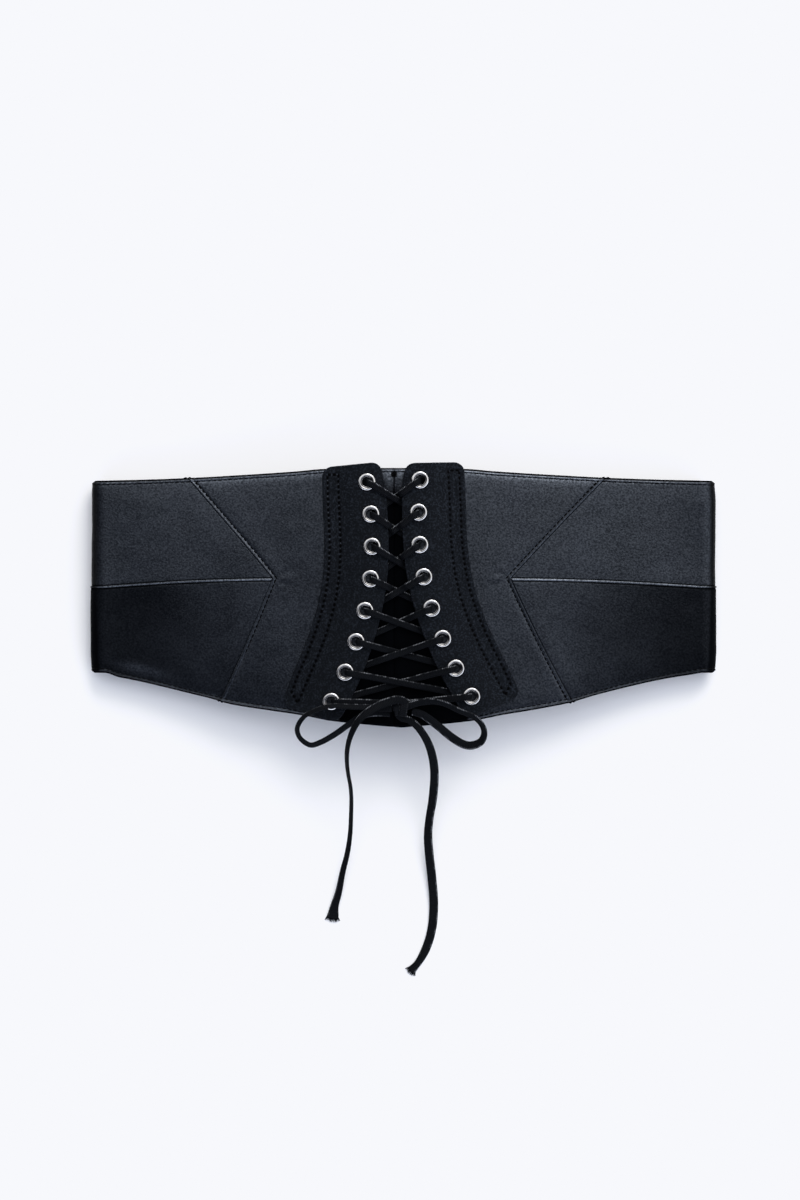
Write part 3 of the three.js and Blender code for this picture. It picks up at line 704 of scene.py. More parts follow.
class Nodes(Tree):
    """A small hand for building a material."""

    def __init__(self, name: str) -> None:
        """Starts a material that holds only its shader."""
        self.material = bpy.data.materials.new(name)
        self.material.use_nodes = True
        super().__init__(self.material.node_tree)
        self.shader = self.tree.nodes["Principled BSDF"]

    def object_place(self) -> Socket:
        """The place on the piece, in metres."""
        return self.add("ShaderNodeTexCoord").outputs["Object"]

    def uv_place(self) -> Socket:
        """The place on the piece's own map."""
        return self.add("ShaderNodeUVMap", uv_map="UVMap").outputs["UV"]

    def dull(self) -> Socket:
        """The piece's painted light and shade, point by point."""
        return self.add("ShaderNodeAttribute", attribute_name=PAINTED_LIGHT).outputs["Fac"]

    def noise(self, place: Socket, scale: float, detail: float = 3.0) -> Socket:
        """A soft noise with a scale in turns per metre."""
        node = self.add("ShaderNodeTexNoise")
        node.inputs["Scale"].default_value = scale
        node.inputs["Detail"].default_value = detail
        self.join(place, node.inputs["Vector"])
        return node.outputs["Fac"]

    def cells(self, place: Socket, scale: float) -> Socket:
        """Distance from the nearest of scattered points, with a scale in points per metre."""
        node = self.add("ShaderNodeTexVoronoi", feature="SMOOTH_F1")
        node.inputs["Scale"].default_value = scale
        self.join(place, node.inputs["Vector"])
        return node.outputs["Distance"]

    def bump(self, height: Socket, depth: float) -> None:
        """Raises the surface by a height in a depth, over any bump that it has already."""
        node = self.add("ShaderNodeBump")
        node.inputs["Strength"].default_value = 1.0
        node.inputs["Distance"].default_value = depth
        self.join(height, node.inputs["Height"])
        normal = self.shader.inputs["Normal"]
        if normal.is_linked:
            self.join(normal.links[0].from_socket, node.inputs["Normal"])
        self.join(node.outputs["Normal"], normal)

    def drive(self, name: str, value: Socket) -> None:
        """Joins a value to one of the shader's own sockets."""
        self.join(value, self.shader.inputs[name])

    def set(self, **values: object) -> None:
        """Sets the shader's own sockets, named with underscores for spaces."""
        for name, value in values.items():
            self.shader.inputs[name.replace("_", " ")].default_value = value


@dataclass(frozen=True)
class LeatherFinish:
    """Smooth coated leather, blue-black, with a fine grain and a soft gloss."""

    dark: Triple = (0.0016, 0.0022, 0.0036)
    light: Triple = (0.0034, 0.0044, 0.0068)
    # Colour of the painted shade that the attribute lays on the leather.
    painted_shade: Triple = (0.0011, 0.0013, 0.0018)
    tint: Triple = (0.76, 0.85, 1.0)
    specular: float = 0.52
    roughness: Pair = (0.3, 0.42)
    gloss_reach: Pair = (0.4, 0.6)
    grain_scale: float = 1500.0
    pore_scale: float = 1000.0
    speck_scale: float = 950.0
    speck_reach: Pair = (0.36, 0.64)
    speck_range: Pair = (0.5, 1.5)
    mottle_scale: float = 34.0
    mottle_reach: Pair = (0.35, 0.65)
    mottle_share: float = 0.6
    grain_depth: float = 0.08 * MM
    pore_depth: float = 0.06 * MM

    def material(self) -> Material:
        """Builds the material."""
        nodes = Nodes("smooth_leather")
        place, dull = nodes.object_place(), nodes.dull()
        mottle = nodes.noise(place, self.mottle_scale, 5.0)
        pores = nodes.noise(place, self.pore_scale, 4.0)
        plain = nodes.mixed(nodes.ranged(mottle, self.mottle_reach), self.dark, self.light)
        # Painted shade: where the attribute is above 0 the colour darkens towards the shade colour.
        nodes.drive("Base Color", nodes.mixed(dull, plain, self.painted_shade))
        gloss = nodes.weighed(mottle, pores, self.mottle_share)
        nodes.drive("Roughness", nodes.ranged(gloss, self.gloss_reach, self.roughness))
        nodes.bump(pores, self.pore_depth)
        nodes.bump(nodes.cells(place, self.grain_scale), self.grain_depth)
        # Painted highlight and shade in the reflection: below 0 it grows up to twice as strong, above 0 it
        # fades away.
        dimmed = nodes.ranged(dull, (-1.0, 1.0), (2 * self.specular, 0.0))
        specks = nodes.ranged(nodes.noise(place, self.speck_scale), self.speck_reach, self.speck_range)
        nodes.drive("Specular IOR Level", nodes.math("MULTIPLY", dimmed, specks))
        nodes.set(Specular_Tint=(*self.tint, 1.0))
        return nodes.material


@dataclass(frozen=True)
class SuedeFinish:
    """Matte napped suede, nearly black, with a grain of short fibres."""

    dark: Triple = (0.0014, 0.0019, 0.0029)
    light: Triple = (0.0112, 0.0138, 0.0185)
    # Colour of the painted shade at the stitches.
    stitch_shade: Triple = (0.0002, 0.0002, 0.0003)
    # Colour of the painted glints between the stitches.
    tips: Triple = (0.05, 0.056, 0.066)
    glint_reach: Pair = (-0.75, -1.0)
    nap_scale: float = 1050.0
    nap_share: float = 0.8
    brushed_scale: float = 300.0
    tone_reach: Pair = (0.48, 0.68)
    nap_depth: float = 0.18 * MM
    roughness: Pair = (0.7, 0.95)
    specular: float = 0.1
    gloss_reach: Pair = (0.0, 0.8)
    tint: Triple = (0.8, 0.88, 1.0)

    def material(self) -> Material:
        """Builds the material."""
        nodes = Nodes("napped_suede")
        place, dull = nodes.object_place(), nodes.dull()
        nap = nodes.noise(place, self.nap_scale, 6.0)
        brushed = nodes.noise(place, self.brushed_scale, 4.0)
        tone = nodes.weighed(nap, brushed, self.nap_share)
        # Painted light: the nap's tone is lifted where the attribute is below 0 and lowered where it is above
        # 0.
        painted_brightening = nodes.ranged(dull, (-1.0, 1.0), (2.0, 0.0))
        share = nodes.math("MULTIPLY", nodes.ranged(tone, self.tone_reach), painted_brightening)
        # Painted shade at the stitches, where the attribute is above 0.
        plain = nodes.mixed(dull, nodes.mixed(share, self.dark, self.light), self.stitch_shade)
        # Painted glints between the stitches, where the attribute nears -1.
        nodes.drive("Base Color", nodes.mixed(nodes.ranged(dull, self.glint_reach), plain, self.tips))
        nodes.drive("Roughness", nodes.ranged(nap, NOISE_REACH, self.roughness))
        nodes.bump(nap, self.nap_depth)
        nodes.drive("Specular IOR Level", nodes.ranged(dull, self.gloss_reach, (self.specular, 0.0)))
        nodes.set(Specular_Tint=(*self.tint, 1.0))
        return nodes.material


@dataclass(frozen=True)
class SteelFinish:
    """Bright plated metal of the eyelets, with faint rub marks."""

    dark: Triple = (0.5, 0.49, 0.48)
    light: Triple = (0.68, 0.67, 0.66)
    shaded: Triple = (0.035, 0.034, 0.038)
    roughness: Pair = (0.08, 0.16)
    rub_scale: float = 700.0
    rub_depth: float = 0.01 * MM

    def material(self) -> Material:
        """Builds the material."""
        nodes = Nodes("plated_metal")
        rub = nodes.noise(nodes.object_place(), self.rub_scale, 5.0)
        plated = nodes.mixed(rub, self.dark, self.light)
        nodes.drive("Base Color", nodes.mixed(nodes.dull(), plated, self.shaded))
        nodes.drive("Roughness", nodes.ranged(rub, NOISE_REACH, self.roughness))
        nodes.bump(rub, self.rub_depth)
        nodes.set(Metallic=1.0)
        return nodes.material


@dataclass(frozen=True)
class LaceFinish:
    """Flat woven lace: ribs slant from its middle to both edges, with painted highlight glints dotted along
    one edge.
    """

    dark: Triple = (0.0012, 0.0014, 0.0019)
    light: Triple = (0.0042, 0.0048, 0.0062)
    # Colour of the painted highlight glints on the lace's edge.
    glint: Triple = (0.2, 0.21, 0.23)
    rib_pitch: float = 0.9 * MM
    slant: float = 1.6 * MM
    rib_depth: float = 0.16 * MM
    fibre_scale: float = 2500.0
    fibre_range: Pair = (0.4, 1.0)
    edge_reach: Pair = (0.82, 0.88)
    spark_reach: Pair = (0.5, 0.9)
    broken_scale: float = 260.0
    broken_reach: Pair = (0.46, 0.6)
    broken_range: Pair = (0.04, 1.0)
    roughness: Pair = (0.75, 0.5)
    specular: float = 0.055
    tint: Triple = (0.8, 0.88, 1.0)

    def material(self) -> Material:
        """Builds the material."""
        nodes = Nodes("woven_lace")
        place = nodes.object_place()
        split = nodes.add("ShaderNodeSeparateXYZ")
        nodes.join(nodes.uv_place(), split.inputs["Vector"])
        along, across = split.outputs["X"], split.outputs["Y"]
        from_middle = nodes.math("ABSOLUTE", nodes.math("SUBTRACT", across, 0.5))
        slanted = nodes.math("ADD", along, nodes.math("MULTIPLY", from_middle, self.slant))
        turn = nodes.math("MULTIPLY", slanted, 2 * math.pi / self.rib_pitch)
        rib = nodes.math("MULTIPLY_ADD", nodes.math("SINE", turn), 0.5, 0.5)
        fibre = nodes.ranged(nodes.noise(place, self.fibre_scale, 4.0), (0.35, 0.65), self.fibre_range)
        woven = nodes.mixed(nodes.math("MULTIPLY", rib, fibre), self.dark, self.light)
        # Painted highlight: dotted glints along one edge of the lace, broken into patches.
        edge = nodes.ranged(across, self.edge_reach)
        spark = nodes.math("MULTIPLY", edge, nodes.ranged(rib, self.spark_reach))
        patches = nodes.noise(place, self.broken_scale, 2.0)
        lit = nodes.math("MULTIPLY", spark, nodes.ranged(patches, self.broken_reach, self.broken_range))
        nodes.drive("Base Color", nodes.mixed(lit, woven, self.glint))
        nodes.drive("Roughness", nodes.ranged(rib, FULL, self.roughness))
        nodes.bump(rib, self.rib_depth)
        nodes.set(Specular_IOR_Level=self.specular, Specular_Tint=(*self.tint, 1.0))
        return nodes.material


@dataclass(frozen=True)
class ThreadFinish:
    """Black sewing thread, twisted and slightly bright."""

    colour: Triple = (0.0002, 0.0002, 0.0003)
    glint: Triple = (0.0014, 0.0015, 0.0019)
    twist_scale: float = 2600.0
    twist_reach: Pair = (0.5, 0.75)
    twist_depth: float = 0.05 * MM
    roughness: Pair = (0.6, 0.42)
    specular: float = 0.02

    def material(self) -> Material:
        """Builds the material."""
        nodes = Nodes("sewing_thread")
        twist = nodes.noise(nodes.object_place(), self.twist_scale, 2.0)
        nodes.drive("Base Color", nodes.mixed(nodes.ranged(twist, self.twist_reach), self.colour, self.glint))
        nodes.drive("Roughness", nodes.ranged(twist, NOISE_REACH, self.roughness))
        nodes.bump(twist, self.twist_depth)
        nodes.set(Specular_IOR_Level=self.specular)
        return nodes.material


@dataclass
class Finishes:
    """The finishes that the pieces share."""

    leather: Material = field(default_factory=lambda: LeatherFinish().material())
    suede: Material = field(default_factory=lambda: SuedeFinish().material())
    steel: Material = field(default_factory=lambda: SteelFinish().material())
    lace: Material = field(default_factory=lambda: LaceFinish().material())
    thread: Material = field(default_factory=lambda: ThreadFinish().material())


def dress(piece: Piece, finish: Material, slot: str, *nodes: str) -> Piece:
    """Gives a piece its finish, its body and what it stands for.

    Args:
        piece: the finished mesh.
        finish: its material.
        slot: not used.
        nodes: CAD nodes that it replaces.

    Returns:
        The piece.
    """
    piece.data.materials.clear()
    piece.data.materials.append(finish)
    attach(piece, ROOT)
    if nodes:
        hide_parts(*nodes)
    LOG.info("%s has %d faces", piece.name, len(piece.data.polygons))
    return piece


@dataclass(frozen=True)
class Needle:
    """A row of stitches along a line on a surface, each a short round-ended bead of thread."""

    pitch: float = 3.0 * MM
    length: float = 2.3 * MM
    width: float = 0.55 * MM
    height: float = 0.34 * MM
    segments: int = 6
    rings: int = 5

    def bead(self) -> tuple[Array, list[list[int]]]:
        """One stitch about its own middle, long in X and flat in Z, from a round primitive."""
        bpy.ops.object.select_all(action="DESELECT")
        bpy.ops.mesh.primitive_uv_sphere_add(
            segments=self.segments, ring_count=self.rings, radius=0.5, rotation=(0.0, math.pi / 2, 0.0)
        )
        ball = bpy.context.object
        bpy.ops.object.transform_apply(location=False, rotation=True, scale=False)
        points = get_points(ball)
        points[:, 0] = np.sign(points[:, 0]) * 0.5 * (2 * np.abs(points[:, 0])) ** 0.6
        points *= np.array([self.length, self.width, self.height])
        faces = [list(face.vertices) for face in ball.data.polygons]
        bpy.data.objects.remove(ball)
        return points, faces

    def sew(self, name: str, lines: Sequence[Surface], finish: Material) -> Piece:
        """Sews rows of stitches as one joined mesh.

        Args:
            name: the piece's name.
            lines: each row's line on the surface, with its outward directions.
            finish: the thread.

        Returns:
            The piece.
        """
        bead, bead_faces = self.bead()
        points, faces = [], []
        for line in lines:
            total = line_lengths(line.points)[-1]
            places = np.arange(self.pitch / 2, total, self.pitch)
            centres = sample_line(line.points, line.points, places)
            ups = unit(sample_line(line.points, line.normals, places))
            ahead = sample_line(line.points, line.points, places + self.length / 4)
            behind = sample_line(line.points, line.points, places - self.length / 4)
            alongs = unit(ahead - behind)
            for centre, along, up in zip(centres, alongs, ups):
                across = unit(np.cross(up, along))
                axes = np.stack([along, across, np.cross(along, across)])
                faces += [[corner + len(points) * len(bead) for corner in face] for face in bead_faces]
                points.append(centre + bead @ axes)
        piece = mesh_piece(name, np.concatenate(points), faces)
        smooth_by_angle(piece, 60.0)
        return dress(piece, finish, "lace")


@dataclass(frozen=True)
class Ridge:
    """A smooth rounded ridge, or a groove, along a seam or an edge."""

    height: float
    place: float
    width: float

    def share(self, distance: Array) -> Array:
        """Share of its height at a distance from the seam."""
        return hump(distance, self.place, self.width)

    def at(self, distance: Array) -> Array:
        """Its height at a distance from the seam."""
        return self.height * self.share(distance)


@dataclass(frozen=True)
class SeamShape:
    """The low relief of the leather at its seams and hems, by the distance from them."""

    joint: float = 0.006 * MM
    crevice: Ridge = Ridge(0.4 * MM, 0.0, 0.22 * MM)
    rib: Ridge = Ridge(0.46 * MM, 0.85 * MM, 0.5 * MM)
    groove: Ridge = Ridge(0.32 * MM, 1.95 * MM, 0.5 * MM)
    pull: float = 0.4
    fine_rib: Ridge = Ridge(0.34 * MM, 0.6 * MM, 0.36 * MM)
    fine_groove: Ridge = Ridge(0.26 * MM, 1.5 * MM, 0.42 * MM)
    # Strengths of the painted highlight on a fine rib and of the painted shade in its groove.
    fine_glow: float = 1.2
    fine_shade: float = 1.4
    roll: float = 1.6 * MM
    roll_drop: float = 1.6 * MM
    roll_power: float = 1.6
    roll_under: float = 0.15 * MM
    bead: Ridge = Ridge(0.26 * MM, 1.6 * MM, 0.55 * MM)
    hem_groove: Ridge = Ridge(0.17 * MM, 2.4 * MM, 0.45 * MM)
    pucker_share: float = 0.14
    pucker_pitch: float = 3.0 * MM
    settle: float = 0.6 * MM
    settle_reach: float = 15 * MM
    # Painted shade on a hem's rolled edge, and a band of painted highlight under the upper hem.
    edge_shade_reach: Pair = (0.9 * MM, 1.3 * MM)
    glow: Ridge = Ridge(1.0, 2.3 * MM, 2.6 * MM)
    # Reach of the painted shade in the crevice along the upper panel's edge at a level seam.
    crevice_shade_reach: Pair = (0.35 * MM, 0.9 * MM)
    near: tuple[float, ...] = (0, 0.12, 0.25, 0.4, 0.55, 0.7, 0.88, 1.1, 1.4, 1.75, 2.1, 2.5, 2.9, 3.4, 4.2)

    @property
    def near_columns(self) -> Array:
        """Distances of the mesh's close columns from a seam."""
        return np.array(self.near) * MM

    def over(self, distance: Array, height: Array | float = 1.0) -> Array:
        """A folded edge that lies on top of its neighbour, sewn down just behind its rib.

        Args:
            distance: distance from the seam.
            height: share of the rib's full height.

        Returns:
            How far the leather stands out.
        """
        pull = self.pull * self.groove.height * hump(distance, self.groove.place, 3 * self.groove.width)
        dips = self.crevice.at(distance) + self.groove.at(distance) + pull
        return height * self.rib.at(distance) - dips

    def fine(self, distance: Array) -> Array:
        """The fine rolled edge at the top of a lower panel, with a sharp fall behind it."""
        return self.fine_rib.at(distance) - self.fine_groove.at(distance)

    def fine_sheen(self, distance: Array) -> Array:
        """Painted light along a fine edge: a painted highlight on its rib and painted shade in its groove."""
        bright = self.fine_glow * self.fine_rib.share(distance)
        return self.fine_shade * self.fine_groove.share(distance) - bright

    def under(self, distance: Array) -> Array:
        """The neighbour's edge that goes down into the seam."""
        pull = self.pull * self.groove.height * hump(distance, 0.0, 5 * self.groove.width)
        return -self.crevice.at(distance) - pull

    def hem(self, distance: Array, along: Array) -> Array:
        """A turned edge with its bead and its sewn groove, puckered at each stitch."""
        pucker = self.pucker_share * np.cos(2 * np.pi * along / self.pucker_pitch)
        settled = self.settle * np.clip(1.0 - distance / self.settle_reach, 0.0, 1.0) ** 2
        puckered = self.bead.at(distance) * (1.0 - pucker) - self.hem_groove.at(distance) * (1.0 + pucker)
        return puckered - settled

    def edge_shade(self, distance: Array) -> Array:
        """How far the painted shade on a hem's rolled edge reaches, at a distance from the edge."""
        return 1.0 - ease(*self.edge_shade_reach, distance)

    def sheen(self, distance: Array, top: Array | bool) -> Array:
        """Painted light by a hem: painted shade on its rolled edge, and a painted highlight below the upper
        one.
        """
        return mix(-self.glow.at(distance) * top, 1.0, self.edge_shade(distance))

    def rounding(self, distance: Array) -> Array:
        """How far along its roll a face is at a distance from a turned edge, from 0 to 1."""
        return np.clip(1.0 - distance / self.roll, 0.0, 1.0)


@dataclass
class LeatherPanels:
    """The six leather panels of the loop, with the stitches of their seams and hems."""

    finishes: Finishes
    shape: SeamShape = SeamShape()
    middle_step: float = 0.8 * MM
    row_step: float = 1.3 * MM
    fold_columns: int = 30
    back_columns: int = 48
    swell: float = 0.32 * MM
    swell_length: float = 62 * MM
    nub: float = 0.55 * MM
    shade_start: float = 8 * MM
    shade_full: float = 17 * MM
    overlap: float = 0.4 * MM
    low_left_rib: float = 0.25
    level_under: float = 0.3
    # Painted shade towards the outer ends of the lower panels.
    low_dull: float = 0.72
    low_dull_reach: Pair = (0.42, 0.95)
    # Painted shade where the leather turns over the folds.
    crease_dull: float = 0.96
    fold_shade_reach: Pair = (0.68, 0.985)
    low_end: float = 2.6 * MM
    low_start: float = 0.35
    puff: Ridge = Ridge(0.35 * MM, 3.2 * MM, 2.2 * MM)
    pull_depth: float = 0.22 * MM
    pull_place: float = 6 * MM
    pull_folds: float = 7.0
    # Painted highlight beside the centre seam near the top edge.
    seam_glow: Ridge = Ridge(1.0, 3.5 * MM, 2.5 * MM)
    seam_glow_down: Ridge = Ridge(1.0, 6 * MM, 5 * MM)
    # Painted highlight patch by the lower hem, near the left lower panel's fold.
    highlight_patch: Ridge = Ridge(1.0, 7 * MM, 2.6 * MM)
    highlight_patch_end: Ridge = Ridge(1.0, 20 * MM, 13 * MM)
    centre_row: Pair = (6 * MM, 34 * MM)
    tack_row: Pair = (2.2 * MM, 5.4 * MM)

    def seam_slant(self, side: Side, rise: Array) -> Array:
        """Cosine between an arrow seam and the Y axis, above and below its point."""
        seam = LOOP.seam(side)
        over = LOOP.front_top - LOOP.point_height
        under = LOOP.point_height - mix(LOOP.fold_bottom, LOOP.front_bottom, 0.6)
        tall = np.where(rise > 0.0, over, under)
        wide = np.where(rise > 0.0, seam.top, seam.bottom) - seam.point
        return tall / np.hypot(tall, wide)

    def rises(self, low: float, high: float, tall: float) -> Array:
        """Rows between two rises, close together near both."""
        near = self.shape.near_columns / tall
        count = int(abs(high - low) * tall / self.row_step)
        return graded(np.array([low]), np.array([high]), near, count)[0]

    def walls(self, mid: Surface, relief: Array, hem: Array, lie: Array | float = 0.0) -> tuple[Array, Array]:
        """Outer and inner faces of the wall.

        Args:
            mid: the middle surface.
            relief: how far the outer face stands out from its plain place.
            hem: distance from the nearest turned edge.
            lie: how far both faces stand out together.

        Returns:
            The places of both faces.
        """
        share = self.shape.rounding(hem)
        roll = self.shape.roll_drop * share**self.shape.roll_power
        outer = mid.lifted(LOOP.wall / 2 - roll + relief + lie)
        inner = mid.lifted(lie - LOOP.wall / 2 + self.shape.roll_under * share**2)
        return outer, inner

    def nubbed(self, y: Array, seam_distance: Array, hem: Array, top: Array) -> Array:
        """Pushes an edge out a little where a seam runs over it."""
        push = self.nub * hump(seam_distance, 0.9 * MM, 0.6 * MM) * hump(hem, 0.0, 1.2 * MM)
        return y + np.where(top, push, -push)

    def front_panel(self, side: Side) -> Piece:
        """One half of the front, between the centre seam and an arrow seam."""
        seam = LOOP.seam(side)
        upper = self.rises(0.0, 1.0, LOOP.front_top - LOOP.point_height)
        lower = self.rises(0.0, 1.0, LOOP.point_height - LOOP.front_bottom)
        plain_upper = upper[upper > 0.08]
        plain_lower = lower[lower > 0.06]
        rise = np.concatenate([-plain_lower[::-1], np.linspace(-0.05, 0.07, 7), plain_upper])
        inner = np.full(len(rise), LOOP.centre_seam + side.value * self.shape.joint / 2)
        outer = side.value * (seam.reach(rise) - self.shape.joint / 2)
        count = int(abs(outer - inner).max() / self.middle_step)
        x = graded(inner, outer, self.shape.near_columns, count)
        rises = np.broadcast_to(rise[:, None], x.shape)
        y = LOOP.height(x, rises)
        to_seam = np.abs(outer[:, None] - x) * self.seam_slant(side, rises)
        to_top, to_bottom = LOOP.top_edge(x) - y, y - LOOP.bottom_edge(x)
        hem = np.minimum(to_top, to_bottom)
        y = self.nubbed(y, to_seam, hem, to_top < to_bottom)
        mid = LOOP.front(x, y)
        height = self.low_left_rib if side is Side.LEFT else 1.0
        ribs = mix(height, 1.0, ease(-0.04, 0.04, rises))
        relief = self.shape.over(to_seam, ribs) + self.shape.under(np.abs(x - LOOP.centre_seam))
        relief = relief + self.shape.hem(hem, x) + self.body(mid.points, to_seam, hem)
        relief = relief + self.point_pull(side, mid.points)
        relief = relief + self.centre_puff(mid.points)
        # Painted shade on the hems' rolled edges and a painted highlight under the upper hem.
        sheen = self.shape.sheen(hem, to_top < to_bottom)
        # Painted shade in the hollow between the flaps.
        lacing_shade = self.under_lacing(x, y)
        # Painted highlight beside the centre seam near the top edge.
        beside_seam = self.seam_glow.at(np.abs(x - LOOP.centre_seam))
        sheen = sheen - beside_seam * self.seam_glow_down.at(to_top)
        dull = np.where(lacing_shade > 0.0, np.maximum(lacing_shade, sheen), np.maximum(sheen, -1.0))
        piece = closed_sheet(f"leather_front_{side.word}", *self.walls(mid, relief, hem), dull)
        return dress(piece, self.finishes.leather, "leather", f"front_panel_{side.word}")

    def centre_puff(self, points: Array) -> Array:
        """The soft swell of the leather beside the centre seam."""
        return self.puff.at(np.abs(points[..., 0] - LOOP.centre_seam))

    def under_lacing(self, x: Array, y: Array) -> Array:
        """How far painted shade darkens the leather in the hollow between the flaps."""
        x, y = x - FLAPS.lacing_top[0], y - FLAPS.lacing_top[1]
        along, across = FLAPS.down_direction, FLAPS.out_direction
        down = x * along[0] + y * along[1]
        out = np.abs(x * across[0] + y * across[1])
        edge = FLAPS.inner(np.clip(down, 0.0, FLAPS.length))
        inside = 1.0 - ease(0.0, 3 * MM, out - edge)
        return inside * ease(self.shade_start, self.shade_full, down)

    def body(self, points: Array, seam: Array, hem: Array) -> Array:
        """The uneven lie of a panel away from its seams."""
        calm = ease(2 * MM, 12 * MM, np.minimum(seam, hem))
        broad = unevenness(points, self.swell_length, 0.4)
        fine = unevenness(points, self.swell_length / 3.4, 2.1)
        return self.swell * calm * (broad + 0.3 * fine)

    def point_pull(self, side: Side, points: Array) -> Array:
        """Short folds that run in to the front from an arrow seam's point."""
        seam = LOOP.seam(side)
        ahead = seam.point - side.value * points[..., 0]
        beside = points[..., 1] - LOOP.point_height
        fan = np.cos(np.arctan2(beside, np.maximum(ahead, 1e-6)) * self.pull_folds)
        near = hump(np.hypot(ahead - self.pull_place, beside), 0.0, self.pull_place)
        return np.where(ahead > 0.0, self.pull_depth * fan * near, 0.0)

    def side_panel(self, side: Side, half: Half) -> Piece:
        """A side panel, from its arrow seam round the fold to the middle of the back."""
        seam = LOOP.seam(side)
        upper, lower = LOOP.fold_top - LOOP.fold_seam_height, LOOP.fold_seam_height - LOOP.fold_bottom
        tall = upper if half is Half.UPPER else lower
        start = self.shape.joint / 2 / tall
        rise = half.value * self.rises(start, 1.0, tall)
        front_start = side.value * (seam.reach(rise) + self.shape.joint / 2)
        fold_x = np.full(len(rise), side.value * LOOP.fold_centre)
        count = int(abs(fold_x - front_start).max() / self.middle_step)
        x = graded(front_start, fold_x, self.shape.near_columns, count, both=False)
        rises = np.broadcast_to(rise[:, None], x.shape)
        y = LOOP.height(x, rises)
        to_seam = np.abs(x - front_start[:, None]) * self.seam_slant(side, rises)
        top = half is Half.UPPER
        edge_y = LOOP.top_edge(x) if top else LOOP.bottom_edge(x)
        y = self.nubbed(y, to_seam, np.abs(edge_y - y), np.full(x.shape, top))
        front = LOOP.front(x, y)
        turn = np.linspace(0.0, 1.0, self.fold_columns + 1)[None, 1:]
        turns, fold_rises = np.broadcast_arrays(turn, rise[:, None])
        fold = LOOP.fold(side, turns, fold_rises)
        back_end = np.full(len(rise), side.value * self.shape.joint / 2)
        back_x = graded(back_end, fold_x, self.shape.near_columns, self.back_columns, both=False)
        back_x = back_x[:, ::-1][:, 1:]
        back = LOOP.back(back_x, side, np.broadcast_to(rise[:, None], back_x.shape))
        mid = Surface(
            np.concatenate([front.points, fold.points, back.points], axis=1),
            np.concatenate([front.normals, fold.normals, back.normals], axis=1),
        )
        return self.finish_side(side, half, mid, to_seam, np.abs(back_x - back_end[:, None]))

    def finish_side(self, side: Side, half: Half, mid: Surface, to_seam: Array, to_back: Array) -> Piece:
        """Gives a side panel its relief and its finish."""
        x, y = mid.points[..., 0], mid.points[..., 1]
        columns = to_seam.shape[1]
        far = np.full(mid.points.shape[:-1], 1.0)
        seam = far.copy()
        seam[:, :columns] = to_seam
        closing = far.copy()
        closing[:, -to_back.shape[1] :] = to_back
        edge_x = np.where(np.arange(x.shape[1])[None, :] < columns, x, side.value * LOOP.fold_centre)
        level = np.abs(y - LOOP.level_seam(edge_x))
        hem = LOOP.top_edge(edge_x) - y if half is Half.UPPER else y - LOOP.bottom_edge(edge_x)
        steps = np.diff(mid.points, axis=1, prepend=mid.points[:, :1])
        run = np.cumsum(np.linalg.norm(steps, axis=-1), axis=1)
        relief = self.shape.under(seam) + self.shape.under(closing) + self.shape.hem(hem, run)
        if half is Half.LOWER:
            relief = relief + self.shape.fine(level)
        else:
            relief = relief + self.level_under * self.shape.under(level)
        relief = relief + self.body(mid.points, np.minimum(seam, level), hem) * (mid.normals[..., 2] > -0.5)
        if half is Half.LOWER:
            relief = relief + self.overlap * hump(mid.normals[..., 2], 0.0, 0.7)
        upright = mid.normals[..., 2]
        lie = np.zeros_like(relief)
        if half is Half.LOWER:
            ends = ease(self.low_start, 1.0, np.abs(edge_x) / LOOP.fold_centre)
            tall = LOOP.fold_seam_height - LOOP.fold_bottom
            lie = -self.low_end * ends * (level / tall) * np.clip(upright, 0.0, 1.0)
        # Painted shade where the leather turns over the folds, laid over all the other marks.
        fold_shade = self.crease_dull * (1.0 - ease(*self.fold_shade_reach, np.abs(upright)))
        # Painted shade on the hem's rolled edge and a painted highlight under the upper hem.
        sheen = self.shape.sheen(hem, half is Half.UPPER)
        if half is Half.LOWER:
            # Painted shade towards the panel's outer end, less a painted highlight patch by the left panel's
            # lower hem.
            end_shade = self.low_dull * ease(*self.low_dull_reach, np.abs(edge_x) / LOOP.fold_centre)
            highlight_patch = self.highlight_patch.at(hem) * self.highlight_patch_end.at(LOOP.fold_centre - np.abs(edge_x))
            end_shade = end_shade - (highlight_patch if side is Side.LEFT else 0.0)
            # Painted highlight on the level seam's fine rib and painted shade in its groove.
            sheen = np.maximum(sheen, end_shade) + self.shape.fine_sheen(level)
        else:
            # Painted shade in the crevice along the level seam.
            sheen = np.maximum(sheen, 1.0 - ease(*self.shape.crevice_shade_reach, level))
        dull = np.clip(mix(sheen, 1.0, fold_shade), -1.0, 1.0)
        name = f"{half.word}_{side.word}"
        faces = self.walls(mid, self.above_ground(mid, relief), hem, lie)
        piece = closed_sheet(f"leather_side_{name}", *faces, dull)
        return dress(piece, self.finishes.leather, "leather", f"side_panel_{name}")

    def above_ground(self, mid: Surface, relief: Array) -> Array:
        """Keeps the back's outer face from standing out below the ground."""
        return np.where(mid.normals[..., 2] < -0.2, np.minimum(relief, 0.0), relief)

    def closure(self) -> Piece:
        """The strip that joins the two back ends from inside."""
        low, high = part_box("back_closure")
        bpy.ops.object.select_all(action="DESELECT")
        bpy.ops.mesh.primitive_cube_add(size=1, location=(low + high) / 2, scale=high - low)
        strip = added("closure_strip")
        bpy.ops.object.transform_apply(location=True, rotation=False, scale=True)
        apply_modifier(strip, "BEVEL", width=0.5 * MM, segments=3, limit_method="ANGLE")
        smooth_by_angle(strip)
        return dress(strip, self.finishes.leather, "leather", "back_closure")

